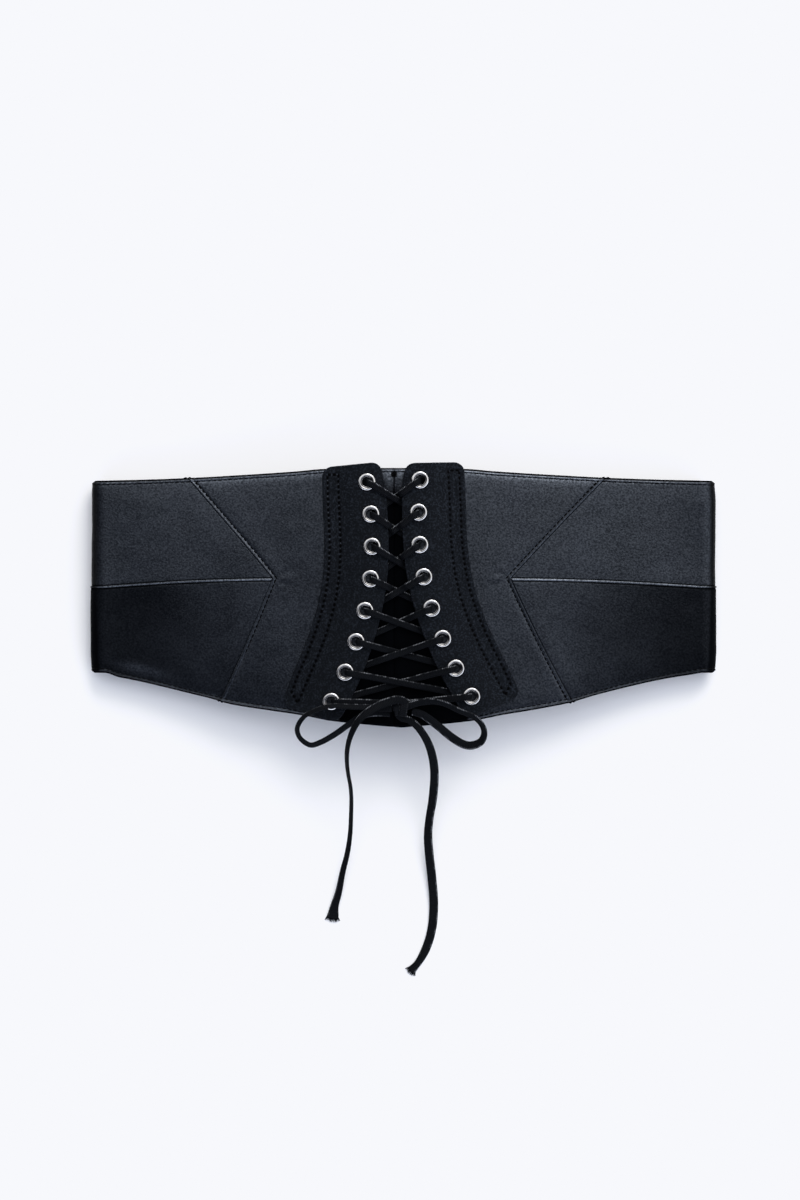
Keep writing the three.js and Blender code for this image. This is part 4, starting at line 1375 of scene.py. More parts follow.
    def hem_line(self, top: bool) -> Surface:
        """The sewn line of a hem, over the front from fold to fold."""
        x = np.linspace(-LOOP.fold_centre, LOOP.fold_centre, 500)
        inset = self.shape.hem_groove.place
        y = LOOP.top_edge(x) - inset if top else LOOP.bottom_edge(x) + inset
        mid = LOOP.front(x, y)
        lift = LOOP.wall / 2 + float(self.shape.hem(np.array(inset), np.array(0.0))) + 0.1 * MM
        return mid.moved(lift)

    def fold_line(self, side: Side, rise_inset: Callable[[float], float]) -> Surface:
        """A sewn line round a fold and along the back, at a height given for the fold."""
        turn = np.linspace(0.0, 1.0, 40)
        edge = np.full_like(turn, side.value * LOOP.fold_centre)
        rise = LOOP.rise(edge, np.full_like(turn, rise_inset(side.value * LOOP.fold_centre)))
        fold = LOOP.fold(side, turn, rise)
        lift = LOOP.wall / 2 + float(self.shape.hem(np.array(self.shape.hem_groove.place), np.array(0.0)))
        return fold.moved(lift + 0.1 * MM)

    def arrow_line(self, side: Side, low: float) -> Surface:
        """The sewn line beside an arrow seam, from a lowest rise up to the hem."""
        rise = np.linspace(low, 0.96, 160)
        inset = self.shape.groove.place / self.seam_slant(side, rise)
        x = side.value * (LOOP.seam(side).reach(rise) - inset)
        mid = LOOP.front(x, LOOP.height(x, rise))
        lift = LOOP.wall / 2 + float(self.shape.over(np.array(self.shape.groove.place)))
        return mid.moved(lift + 0.1 * MM)

    def level_line(self, side: Side) -> Surface:
        """The sewn line under a level seam, from near the point to the fold."""
        start = LOOP.seam(side).point + 3 * MM
        x = side.value * np.linspace(start, LOOP.fold_centre, 200)
        inset = self.shape.fine_groove.place
        mid = LOOP.front(x, LOOP.level_seam(x) - inset)
        lift = LOOP.wall / 2 + float(self.shape.fine(np.array(inset)))
        return mid.moved(lift - 0.05 * MM)

    def build(self) -> None:
        """Builds the panels, the closure strip and their stitches."""
        for side in Side:
            self.front_panel(side)
            for half in Half:
                self.side_panel(side, half)
        self.closure()
        thread = self.finishes.thread
        inset = self.shape.hem_groove.place
        hems = [self.hem_line(True), self.hem_line(False)]
        for side in Side:
            hems.append(self.fold_line(side, lambda x: float(LOOP.top_edge(np.array(x))) - inset))
            hems.append(self.fold_line(side, lambda x: float(LOOP.bottom_edge(np.array(x))) + inset))
        Needle().sew("stitches_hems", hems, thread)
        arrows = [self.arrow_line(Side.LEFT, -0.58), self.arrow_line(Side.RIGHT, -0.96)]
        Needle(length=2.2 * MM, width=0.85 * MM, height=0.42 * MM).sew("stitches_arrow_seams", arrows, thread)
        levels = [self.level_line(side) for side in Side]
        Needle(width=0.4 * MM, height=0.26 * MM).sew("stitches_level_seams", levels, thread)
        Needle(pitch=2.6 * MM, length=1.9 * MM).sew("stitches_centre_seam", [self.centre_line()], thread)
        tack = Needle(pitch=0.62 * MM, length=0.56 * MM, width=3.4 * MM, height=0.5 * MM)
        tack.sew("stitches_bar_tack", [self.tack_line()], thread)

    def centre_line(self) -> Surface:
        """The sewn line down the centre seam, where it shows between the flaps."""
        y = LOOP.front_top - np.linspace(*self.centre_row, 60)
        x = np.full_like(y, LOOP.centre_seam)
        mid = LOOP.front(x, y)
        return mid.moved(LOOP.wall / 2 - 0.25 * MM)

    def tack_line(self) -> Surface:
        """The close bar of stitches that holds the centre seam's top."""
        y = LOOP.front_top - np.linspace(*self.tack_row, 20)
        x = np.full_like(y, LOOP.centre_seam)
        mid = LOOP.front(x, y)
        return mid.moved(LOOP.wall / 2 + 0.12 * MM)


@dataclass
class EyeletFlaps:
    """The two suede flaps with their rows of stitches and their eyelets."""

    finishes: Finishes
    corner: float = 5.6 * MM
    row_step: float = 0.6 * MM
    column_step: float = 0.65 * MM
    near: tuple[float, ...] = (0, 0.08, 0.2, 0.36, 0.6, 1.0, 1.6)
    edge_round: float = 0.55 * MM
    outer_row: float = 3.0 * MM
    inner_row: float = 9.3 * MM
    row_top: float = 4.2 * MM
    row_end: float = 124.5 * MM
    turn_down: float = 130.6 * MM
    turn_out: float = 57.6 * MM
    groove: float = 0.34 * MM
    groove_width: float = 0.65 * MM
    between: float = 0.3
    lip: Ridge = Ridge(0.16 * MM, 1.5 * MM, 0.7 * MM)
    edge_lip: Ridge = Ridge(0.14 * MM, 0.5 * MM, 0.3 * MM)
    swell: float = 0.12 * MM
    swell_length: float = 34 * MM
    stitch_shade_width: float = 0.95 * MM
    # Strength of the painted glints between stitches on each flap, fading down the left one.
    bright: Pair = (1.7, 0.7)
    bright_reach: Pair = (50 * MM, 110 * MM)
    glint_width: float = 0.6 * MM
    # A lighter painted strip beside the stitch rows, and painted light near the top and over the right flap.
    strip: Ridge = Ridge(0.3, 2.2 * MM, 1.6 * MM)
    pale: float = 0.3
    pale_reach: float = 60 * MM
    pale_right: float = 0.25
    palest: float = -0.7
    plain_gap: float = 0.9 * MM
    hole_radius: float = 3.1 * MM
    hole_sides: int = 32
    left_rise: Pair = (2.0 * MM, 0.1 * MM)
    right_rise: Pair = (0.8 * MM, 0.2 * MM)
    top_rise_reach: float = 20 * MM

    def rounded(self, place: Array) -> Array:
        """How far the sides draw in at a distance from a rounded corner's end."""
        share = np.clip(1.0 - place / self.corner, 0.0, 1.0)
        return self.corner * (1.0 - np.sqrt(1.0 - share * share))

    def raised(self, side: Side, across: Array, down: Array) -> Array:
        """Places down a flap, drawn up near its top by more at the free edge than at the sewn one."""
        free, sewn = self.left_rise if side is Side.LEFT else self.right_rise
        rise = mix(free, sewn, across)
        return down - rise * (1.0 - ease(0.0, self.top_rise_reach, down))

    def grid(self, side: Side) -> tuple[Array, Array]:
        """Places over a flap as out and down, by rows and columns."""
        near = np.array(self.near) * MM
        length = FLAPS.length
        close = np.concatenate([near, np.arange(2.2, 8.0, 0.6) * MM])
        count = int((length - 2 * close[-1]) / self.row_step)
        ends = graded(np.zeros(1), np.full(1, length), close, count)[0]
        share = ends / length
        free_down, fixed_down = share * length, share * length * FLAPS.outer_share
        pull = self.rounded(np.minimum(ends, length - ends))
        free = FLAPS.inner(free_down) + pull * FLAPS.stretch(free_down)
        fixed = FLAPS.outer(fixed_down) - pull
        width = (fixed - free).max()
        out = graded(free, fixed, near, int(width / self.column_step))
        first, last = FLAPS.inner(free_down), FLAPS.outer(fixed_down)
        across = (out - first[:, None]) / (last - first)[:, None]
        down = mix(free_down[:, None], fixed_down[:, None], across)
        return out, self.raised(side, across, down)

    def row_lines(self, side: Side) -> tuple[Array, Array]:
        """The sewn line on a flap as out and down: down the fixed side, round its turn and back up."""
        down = np.linspace(self.row_top, self.row_end, 120)
        slope = (FLAPS.outer(down + PROBE) - FLAPS.outer(down - PROBE)) / (2 * PROBE)
        stretch = np.hypot(1.0, slope)
        outer = FLAPS.outer(down) - self.outer_row * stretch
        inner = FLAPS.outer(down) - self.inner_row * stretch
        keep = slice(None, -6)
        out = np.concatenate([outer, [self.turn_out], inner[keep][::-1], outer[:1]])
        downs = np.concatenate([down, [self.turn_down], down[keep][::-1], down[:1]])
        return out, downs

    def flap(self, side: Side) -> Piece:
        """One flap, its eyelet holes cut through."""
        out, down = self.grid(side)
        mid = FLAPS.surface(side, out, down)
        points = mid.points
        rim = np.concatenate([points[0], points[1:, -1], points[-1, ::-1][1:], points[::-1, 0][1:]])
        edge = distance_to(points, rim)
        row_out, row_down = self.row_lines(side)
        row = FLAPS.surface(side, row_out, row_down)
        sewn, run = nearest_on(mid.points, row.points)
        between = np.cos(2 * np.pi * run / Needle.pitch)
        soft = self.edge_round * np.clip(1.0 - edge / self.edge_round, 0.0, 1.0) ** 2
        dent = self.groove * hump(sewn, 0.0, self.groove_width) * mix(1.0, self.between, (1.0 + between) / 2)
        dent = dent - self.lip.at(sewn)
        swell = self.swell * unevenness(points, self.swell_length, 1.3) * ease(0.0, 6 * MM, edge)
        outer = mid.lifted(FLAPS.wall / 2 - soft - dent + swell + self.edge_lip.at(edge))
        inner = mid.lifted(-FLAPS.wall / 2 + 0.4 * soft + swell)
        piece = closed_sheet(f"suede_flap_{side.word}", outer, inner, self.painted_nap_light(side, sewn, between, down))
        self.punch(piece, side)
        smooth_by_angle(piece)
        return dress(piece, self.finishes.suede, "suede", f"eyelet_flap_{side.word}")

    def painted_nap_light(self, side: Side, sewn: Array, between: Array, down: Array) -> Array:
        """Painted light and shade on the nap: shade at each stitch, glints between stitches, light beside the
        rows.

        Args:
            side: which flap.
            sewn: distance from the sewn line.
            between: 1 between two stitches, -1 at a stitch.
            down: place down the flap.

        Returns:
            From -1, painted light, to 1, painted shade.
        """
        left, right = self.bright
        fading = left * (1.0 - ease(*self.bright_reach, down))
        bright = fading if side is Side.LEFT else right
        # Painted shade at each stitch.
        stitch_shade = hump(sewn, 0.0, self.stitch_shade_width) * (1.0 - between) / 2
        # Painted glints between stitches.
        glints = bright * hump(sewn, 0.0, self.glint_width) * np.maximum(between, 0.0) ** 2
        # Painted light near the top and over the right flap, and a lighter painted strip beside the rows.
        pale = self.pale * (1.0 - ease(0.0, self.pale_reach, down))
        pale = pale + (self.pale_right if side is Side.RIGHT else 0.0)
        plain = np.maximum(-self.strip.at(sewn) - pale, self.palest)
        plain = plain * (1.0 - hump(sewn, 0.0, self.plain_gap))
        return np.clip(plain + stitch_shade - glints, -1.0, 1.0)

    def punch(self, flap: Piece, side: Side) -> None:
        """Cuts the eyelet holes through a flap."""
        cutters = []
        for out, down in FLAPS.eyelet_places():
            seat = FLAPS.surface(side, out, down)
            turn = Vector((0.0, 0.0, 1.0)).rotation_difference(Vector(seat.normals))
            bpy.ops.object.select_all(action="DESELECT")
            bpy.ops.mesh.primitive_cylinder_add(
                vertices=self.hole_sides,
                radius=self.hole_radius,
                depth=8 * MM,
                location=seat.points,
                rotation=turn.to_euler(),
            )
            cutters.append(bpy.context.object)
        punches = joined(cutters)
        apply_modifier(flap, "BOOLEAN", object=punches, operation="DIFFERENCE", solver="EXACT")
        bpy.data.objects.remove(punches)

    def stitches(self) -> Piece:
        """The stitches of both flaps."""
        lines = []
        for side in Side:
            out, down = self.row_lines(side)
            mid = FLAPS.surface(side, out, down)
            lines.append(mid.moved(FLAPS.wall / 2 - self.groove + 0.1 * MM))
        needle = Needle(length=2.1 * MM, width=1.25 * MM, height=0.42 * MM)
        return needle.sew("stitches_flaps", lines, self.finishes.thread)

    def build(self) -> None:
        """Builds the flaps, their stitches and their eyelets."""
        for side in Side:
            self.flap(side)
        self.stitches()
        Eyelets(self.finishes).build()


@dataclass
class Eyelets:
    """The rolled metal eyelets, modelled once and copied to their places."""

    finishes: Finishes
    bore: float = 2.7 * MM
    crest_share: float = 0.62
    throat: float = 1.5 * MM
    groove: float = 0.32 * MM
    groove_place: float = 0.62 * MM
    groove_width: float = 0.24 * MM
    shade_place: float = 0.6 * MM
    shade_width: float = 0.42 * MM
    steps: int = 48

    def profile(self) -> list[Pair]:
        """The eyelet's section, as distance from its axis and height over the flap's middle."""
        face = FLAPS.wall / 2
        rim = FLAPS.eyelet_spread / 2
        crown = face + FLAPS.loop.clearance + FLAPS.eyelet_roll
        crest = mix(self.bore, rim, self.crest_share)
        outer = [
            (rim + (crest - rim) * (1 - math.cos(turn)), face - 0.05 * MM + (crown - face) * math.sin(turn))
            for turn in np.linspace(0.0, math.pi / 2, 8)
        ]
        inner = []
        for turn in np.linspace(0.0, math.pi / 2, 13):
            out = crest + (self.bore - crest) * math.sin(turn)
            dip = self.groove * float(hump(out - self.bore, self.groove_place, self.groove_width))
            inner.append((out, crown - self.throat * (1 - math.cos(turn)) - dip))
        foot = -face - FLAPS.loop.clearance - FLAPS.washer_wall
        washer = FLAPS.washer_spread / 2
        lower = [
            (self.bore, foot + 0.2 * MM),
            (self.bore + 0.15 * MM, foot),
            (washer - 0.15 * MM, foot),
            (washer, foot + 0.2 * MM),
            (washer, -face + 0.05 * MM),
            (self.bore + 0.4 * MM, -face + 0.05 * MM),
            (self.bore + 0.4 * MM, face - 0.05 * MM),
        ]
        return outer + inner[1:] + lower

    def ring(self) -> Piece:
        """One eyelet about its own axis, spun from its section."""
        section = self.profile()
        bpy.ops.object.select_all(action="DESELECT")
        bpy.ops.mesh.primitive_circle_add(vertices=len(section), radius=1.0)
        ring = added("eyelet_model")
        set_points(ring, np.array([(out, 0.0, up) for out, up in section]))
        bpy.ops.object.mode_set(mode="EDIT")
        bpy.ops.mesh.select_all(action="SELECT")
        bpy.ops.mesh.spin(steps=self.steps, angle=2 * math.pi, center=(0, 0, 0), axis=(0, 0, 1))
        bpy.ops.mesh.select_all(action="SELECT")
        bpy.ops.mesh.remove_doubles(threshold=0.02 * MM)
        bpy.ops.mesh.normals_make_consistent(inside=False)
        bpy.ops.object.mode_set(mode="OBJECT")
        smooth_by_angle(ring, 50.0)
        self.shade(ring)
        return ring

    def shade(self, ring: Piece) -> None:
        """Darkens the eyelet's groove, where its own roll shades it."""
        outs = np.array([math.hypot(vertex.co.x, vertex.co.y) for vertex in ring.data.vertices])
        set_dull(ring, hump(outs - self.bore, self.shade_place, self.shade_width))

    def build(self) -> None:
        """Copies the eyelet to its sixteen places."""
        model = self.ring()
        for side in Side:
            for index, (out, down) in enumerate(FLAPS.eyelet_places(), start=1):
                name = f"{side.word}_{index}"
                seat = FLAPS.surface(side, out, down)
                turn = Vector((0.0, 0.0, 1.0)).rotation_difference(Vector(seat.normals))
                piece = bpy.data.objects.new(f"ring_{name}", model.data.copy())
                bpy.context.scene.collection.objects.link(piece)
                piece.data.transform(Matrix.Translation(Vector(seat.points)) @ turn.to_matrix().to_4x4())
                dress(piece, self.finishes.steel, "eyelet_metal", f"eyelet_{name}")
        bpy.data.objects.remove(model)


@dataclass(frozen=True)
class Station:
    """A place on a lace's middle line, with its width and the direction of its width."""

    point: Array
    width: float
    across: Array


@dataclass(frozen=True)
class Band:
    """Flat woven lace, laid along a line of stations."""

    width: float = 4 * MM
    wall: float = 1.0 * MM
    step: float = 0.9 * MM
    sides: int = 14

    def section(self) -> Array:
        """The lace's section in shares of its width and wall, flat with round edges."""
        turns = np.linspace(0.0, 2 * np.pi, self.sides, endpoint=False)
        cos, sin = np.cos(turns), np.sin(turns)
        wide = 0.5 * np.sign(cos) * np.abs(cos) ** 0.7
        high = 0.5 * np.sign(sin) * np.abs(sin) ** 0.55
        return np.stack([wide, high], axis=-1)

    def mesh(self, name: str, line: Array, widths: Array, acrosses: Array) -> Piece:
        """Makes the lace as a closed band with its own map, along in metres and across as a share.

        Args:
            name: the piece's name.
            line: the middle line, ring by ring.
            widths: the width at each ring.
            acrosses: the direction of the width at each ring.

        Returns:
            The piece.
        """
        tangents = unit(np.gradient(line, axis=0))
        level = unit(acrosses - tangents * (acrosses * tangents).sum(axis=1, keepdims=True))
        ups = np.cross(tangents, level)
        section = self.section()
        rings = (
            line[:, None]
            + level[:, None] * (section[:, 0] * widths[:, None])[..., None]
            + ups[:, None] * (section[:, 1] * self.wall)[None, :, None]
        )
        count, sides = len(line), self.sides
        faces = [
            [r * sides + s, r * sides + t, (r + 1) * sides + t, (r + 1) * sides + s]
            for r in range(count - 1)
            for s, t in zip(range(sides), [*range(1, sides), 0])
        ]
        first, last = list(range(sides)), [(count - 1) * sides + s for s in range(sides)]
        piece = mesh_piece(name, rings.reshape(-1, 3), [*faces, first[::-1], last])
        lengths = line_lengths(line)
        layer = piece.data.uv_layers.new(name="UVMap")
        ring_of = np.repeat(np.arange(count), sides)
        share_of = np.tile(section[:, 0] + 0.5, count)
        corners = np.zeros(len(piece.data.loops), np.int32)
        piece.data.loops.foreach_get("vertex_index", corners)
        places = np.stack([lengths[ring_of[corners]], share_of[corners]], axis=-1)
        layer.data.foreach_set("uv", places.astype(np.float32).ravel())
        face_outwards(piece)
        smooth_by_angle(piece, 60.0)
        return piece

    def lay(self, name: str, stations: Sequence[Station]) -> Piece:
        """Lays the lace smoothly through stations."""
        points = np.array([station.point for station in stations])
        line = curve_through(points, self.step)
        nearest = [int(np.linalg.norm(line - point, axis=1).argmin()) for point in points]
        places = line_lengths(line)
        marks = np.maximum.accumulate(places[nearest] + np.arange(len(points)) * 1e-7)
        widths = np.interp(places, marks, [station.width for station in stations])
        sides = np.array([station.across for station in stations])
        acrosses = unit(np.stack([np.interp(places, marks, sides[:, k]) for k in range(3)], axis=1))
        return self.mesh(name, line, widths, acrosses)


@dataclass
class Lacing:
    """The two laces that cross down the front, hole by hole, as the CAD part runs them."""

    finishes: Finishes
    band: Band = Band()
    lace_end: float = 5 * MM
    pinch: float = 0.34
    strand_width: float = 0.92
    least_width: float = 0.9
    drop_start: float = 0.09
    drop_limit: float = 1.0 * MM
    knot_place: Pair = (-1.9 * MM, -63.2 * MM)
    knot_size: Triple = (8 * MM, 7 * MM, 5 * MM)

    @property
    def knot_centre(self) -> Array:
        """Middle of the knot."""
        x, y = self.knot_place
        level = float(LOOP.front_level(np.array(x), np.array(y)))
        return np.array([x, y, level + LOOP.wall / 2 + LOOP.clearance + self.knot_size[2] / 2])

    @property
    def flap_edge_top(self) -> float:
        """Height over the leather of a lace that lies on a flap's free edge."""
        return 2 * LOOP.clearance + FLAPS.edge_lift + FLAPS.wall + self.band.wall / 2

    def seat(self, side: Side, place: Pair) -> Surface:
        """The flap's middle surface at an eyelet."""
        return FLAPS.surface(side, np.array(place[0]), np.array(place[1]))

    def beside(self, seat: Surface, height: float, level: Array, distance: float) -> Array:
        """A place over or under a flap, moved along it in a level direction."""
        along = unit(level - seat.normals * (level @ seat.normals))
        return seat.points + seat.normals * height + along * distance

    def on_leather(self, plan: Array, height: float) -> Array:
        """A place at a height over the leather."""
        x, y = plan[0], plan[1]
        level = float(LOOP.front_level(np.array(x), np.array(y))) + LOOP.wall / 2
        return np.array([x, y, level + height])

    def edge_share(self, side: Side, start: Pair, end: Pair) -> float:
        """Share of the way between two eyelets at which the line leaves the first one's flap."""
        inside, outside = 0.0, 0.5
        for _ in range(30):
            share = (inside + outside) / 2
            out, down = mix(start[0], -end[0], share), mix(start[1], end[1], share)
            if out > float(FLAPS.inner(down)):
                inside = share
            else:
                outside = share
        return inside

    def strand(self, side: Side, start: Pair, end: Pair, over: bool) -> list[Station]:
        """Stations of one strand, from above an eyelet to below the other flap's next one."""
        other = Side(-side.value)
        first = np.array([*FLAPS.plan(side, *start), 0.0])
        second = np.array([*FLAPS.plan(other, *end), 0.0])
        length = float(np.linalg.norm(second - first))
        heading = (second - first) / length
        leaving = self.edge_share(side, start, end) * length
        entering = length - self.edge_share(other, end, start) * length
        gap = entering - leaving
        wide = self.band.width
        narrow = float(np.clip(self.pinch * gap, self.least_width * wide, self.strand_width * wide))
        across = np.array([-heading[1], heading[0], 0.0]) * np.sign(heading[0])
        half_flat = 0.5 * min(wide, 0.26 * gap) * (start[0] + end[0]) / (end[1] - start[1])
        margin = min(self.drop_limit, self.drop_start * gap)
        middle = (leaving + entering) / 2
        upper, lower = self.seat(side, start), self.seat(other, end)
        pass_under = FLAPS.wall / 2 + 2 * LOOP.clearance + FLAPS.washer_wall + self.band.wall / 2
        low = 1.5 * LOOP.clearance + self.band.wall / 2
        cross = low + self.band.wall + 1.5 * LOOP.clearance if over else low

        def on_way(distance: float, height: float) -> Array:
            """A place at a distance along the strand and a height over the leather."""
            return self.on_leather(first + heading * distance, height)

        return [
            *self.leaving(upper, heading, across, 0.5 * MM),
            Station(on_way(leaving + margin, self.flap_edge_top), narrow, across),
            Station(on_way(middle - half_flat, cross), narrow, across),
            Station(on_way(middle + half_flat, cross), narrow, across),
            Station(on_way(entering - margin, low), narrow, across),
            Station(self.beside(lower, -pass_under, heading, -FLAPS.washer_spread / 2), wide, across),
            Station(self.beside(lower, -pass_under + 0.2 * MM, heading, -1.2 * MM), 0.86 * wide, across),
        ]

    def leaving(self, seat: Surface, heading: Array, across: Array, dip: float) -> list[Station]:
        """Stations of a lace that comes up out of an eyelet and lies over its rim."""
        top = FLAPS.wall / 2 + LOOP.clearance + FLAPS.eyelet_roll + self.band.wall / 2
        rim = FLAPS.eyelet_spread / 2 + 0.6 * MM
        steps = ((1.1 * MM, 1.3 * MM, 0.86), (-0.1 * MM, 3.2 * MM, 0.95), (dip, rim, 1.0))
        return [
            Station(self.beside(seat, top - drop, heading, out), share * self.band.width, across)
            for drop, out, share in steps
        ]

    def hole(self, side: Side, place: Pair, before: Array, after: Array) -> Station:
        """The lace inside an eyelet, turned halfway between its ways in and out."""
        seat = self.seat(side, place)
        return Station(seat.points, 0.8 * self.band.width, unit(before + after))

    def last(self, side: Side, place: Pair, before: Array) -> list[Station]:
        """From the lowest eyelet over the flap's edge to the side of the knot."""
        seat = self.seat(side, place)
        wide = self.band.width
        under = self.band.wall - self.knot_size[2] / 2 + 0.8 * MM
        end = self.knot_centre + np.array([side.value * 3.2 * MM, self.knot_size[1] / 3, under])
        level = unit((end - seat.points) * np.array([1.0, 1.0, 0.0]))
        across = np.array([-level[1], level[0], 0.0]) * np.sign(level[0])
        edge_distance = FLAPS.eyelet_inset * float(FLAPS.stretch(np.array(place[1]))) + wide / 2
        edge = self.on_leather(seat.points + level * edge_distance, self.flap_edge_top)
        return [
            self.hole(side, place, before, across),
            *self.leaving(seat, level, across, 0.4 * MM),
            Station(edge, wide, across),
            Station(end, wide, across),
        ]

    def lace(self, side: Side) -> Piece:
        """The lace that starts under one flap's top eyelet and crosses down to the knot."""
        name = f"lacing_from_{side.word}"
        places = FLAPS.eyelet_places()
        here = side
        first = self.seat(here, places[0])
        outward = np.array([here.value * FLAPS.out_direction[0], here.value * FLAPS.out_direction[1], 0.0])
        across = np.array([-outward[1], outward[0], 0.0]) * here.value
        under = FLAPS.wall / 2 + 2 * LOOP.clearance + FLAPS.washer_wall + self.band.wall / 2
        wide = self.band.width
        stations = [
            Station(self.beside(first, -under, outward, self.lace_end), wide, across),
            Station(self.beside(first, -under + 0.2 * MM, outward, 1.2 * MM), 0.86 * wide, across),
        ]
        for level in range(len(places) - 1):
            over = (level % 2 == 0) == (here is Side.LEFT)
            strand = self.strand(here, places[level], places[level + 1], over)
            stations.append(self.hole(here, places[level], stations[-1].across, strand[0].across))
            stations += strand
            here = Side(-here.value)
        stations += self.last(here, places[-1], stations[-1].across)
        piece = self.band.lay(f"woven_{name}", stations)
        return dress(piece, self.finishes.lace, "lace", name)

    def build(self) -> None:
        """Builds both laces."""
        for side in Side:
            self.lace(side)


@dataclass(frozen=True)
class FreeLace:
    """A free stretch of lace from the knot: its route, and its width and roll by share of its length."""

    name: str
    route: tuple[Triple, ...]
    far_end: str
    widths: SmoothLine
    rolls: SmoothLine
    lead_in: tuple[Triple, ...] = ()
    # Whether the lace's map is turned over, which moves its painted glints to its other edge.
    mirrored: bool = False


LEFT_LOOP = FreeLace(
    "bow_loop_left",
    (
        (-0.0064, -0.0634, 0.0332), (-0.0187, -0.0629, 0.034), (-0.0305, -0.0624, 0.0354),
        (-0.039, -0.062, 0.0359), (-0.045, -0.0629, 0.0353), (-0.0511, -0.0654, 0.034),
        (-0.0549, -0.0676, 0.0329), (-0.0583, -0.0719, 0.0309), (-0.0593, -0.0756, 0.029),
        (-0.0576, -0.0802, 0.0272), (-0.0519, -0.084, 0.0264), (-0.0462, -0.0824, 0.027),
        (-0.0382, -0.0779, 0.0288), (-0.0302, -0.0722, 0.0309), (-0.0234, -0.0678, 0.0316),
        (-0.0165, -0.066, 0.0314), (-0.0074, -0.0662, 0.031),
    ),
    "object",
    SmoothLine((0, 0.3, 0.5, 0.7, 1), (1, 0.85, 0.8, 0.95, 1)),
    SmoothLine((0, 0.3, 0.5, 0.7, 1), (0, 45, 35, 30, 0)),
    mirrored=True,
)
RIGHT_LOOP = FreeLace(
    "bow_loop_right",
    (
        (0.0018, -0.0624, 0.0334), (0.0085, -0.0602, 0.0338), (0.015, -0.0594, 0.0346),
        (0.0222, -0.0606, 0.0356), (0.0313, -0.0648, 0.0362), (0.0393, -0.0682, 0.0357),
        (0.0438, -0.0728, 0.0336), (0.045, -0.0773, 0.0312), (0.0433, -0.0819, 0.0289),
        (0.0381, -0.0842, 0.0277), (0.0336, -0.0836, 0.0278), (0.0267, -0.0795, 0.029),
        (0.0199, -0.0739, 0.0306), (0.0108, -0.0671, 0.0318), (0.0048, -0.0652, 0.032),
    ),
    "object",
    SmoothLine((0, 0.25, 0.45, 0.62, 0.8, 1), (1, 0.9, 0.85, 1.18, 1.18, 1)),
    SmoothLine((0, 0.25, 0.5, 0.7, 1), (0, 35, 20, 0, 0)),
)
LEFT_TAIL = FreeLace(
    "lace_tail_left",
    (
        (-0.0022, -0.0586, 0.0346), (-0.0098, -0.0601, 0.0356), (-0.0174, -0.0637, 0.036),
        (-0.0242, -0.0691, 0.035), (-0.0286, -0.0765, 0.0324), (-0.0312, -0.0853, 0.0286),
        (-0.0316, -0.0936, 0.0246), (-0.0308, -0.101, 0.021), (-0.0297, -0.1072, 0.0182),
        (-0.0292, -0.114, 0.0154), (-0.0294, -0.124, 0.012), (-0.0299, -0.134, 0.0092),
        (-0.0314, -0.1446, 0.0067), (-0.0342, -0.156, 0.0042), (-0.0365, -0.1674, 0.0022),
        (-0.0388, -0.1753, 0.0012), (-0.0399, -0.1822, 0.0008),
    ),
    "bare",
    SmoothLine((0, 0.1, 0.2, 0.35, 0.6, 0.85, 0.94, 1), (1.1, 1.2, 1.1, 0.9, 0.85, 0.95, 1.1, 1.75)),
    SmoothLine((0, 0.15, 0.3, 0.45, 0.62, 0.8, 0.92, 1), (0, 20, 45, 58, 50, 30, 10, 0)),
    lead_in=((0.0022, -0.0605, 0.0338),),
    mirrored=True,
)
RIGHT_TAIL = FreeLace(
    "lace_tail_right",
    (
        (-0.0012, -0.0688, 0.0306), (0.003, -0.0699, 0.0307), (0.0084, -0.0744, 0.0304),
        (0.0134, -0.0822, 0.0276), (0.0162, -0.0906, 0.0236), (0.0172, -0.0976, 0.02),
        (0.0173, -0.1036, 0.017), (0.0169, -0.1095, 0.0144), (0.0162, -0.116, 0.0118),
        (0.0146, -0.1256, 0.0088), (0.0138, -0.1354, 0.0064), (0.0146, -0.147, 0.0042),
        (0.0159, -0.1586, 0.0026), (0.017, -0.173, 0.0014), (0.0162, -0.1865, 0.0008),
        (0.0131, -0.198, 0.0007), (0.0086, -0.2064, 0.0007), (0.0042, -0.2116, 0.0007),
    ),
    "bare",
    SmoothLine((0, 0.1, 0.25, 0.5, 0.9, 0.97, 1), (0.9, 1.05, 1.2, 1.25, 1.22, 1, 1.3)),
    SmoothLine((0, 0.3, 0.45, 0.6, 1), (10, 0, 25, 0, 0)),
    lead_in=((-0.0036, -0.0662, 0.0312),),
)


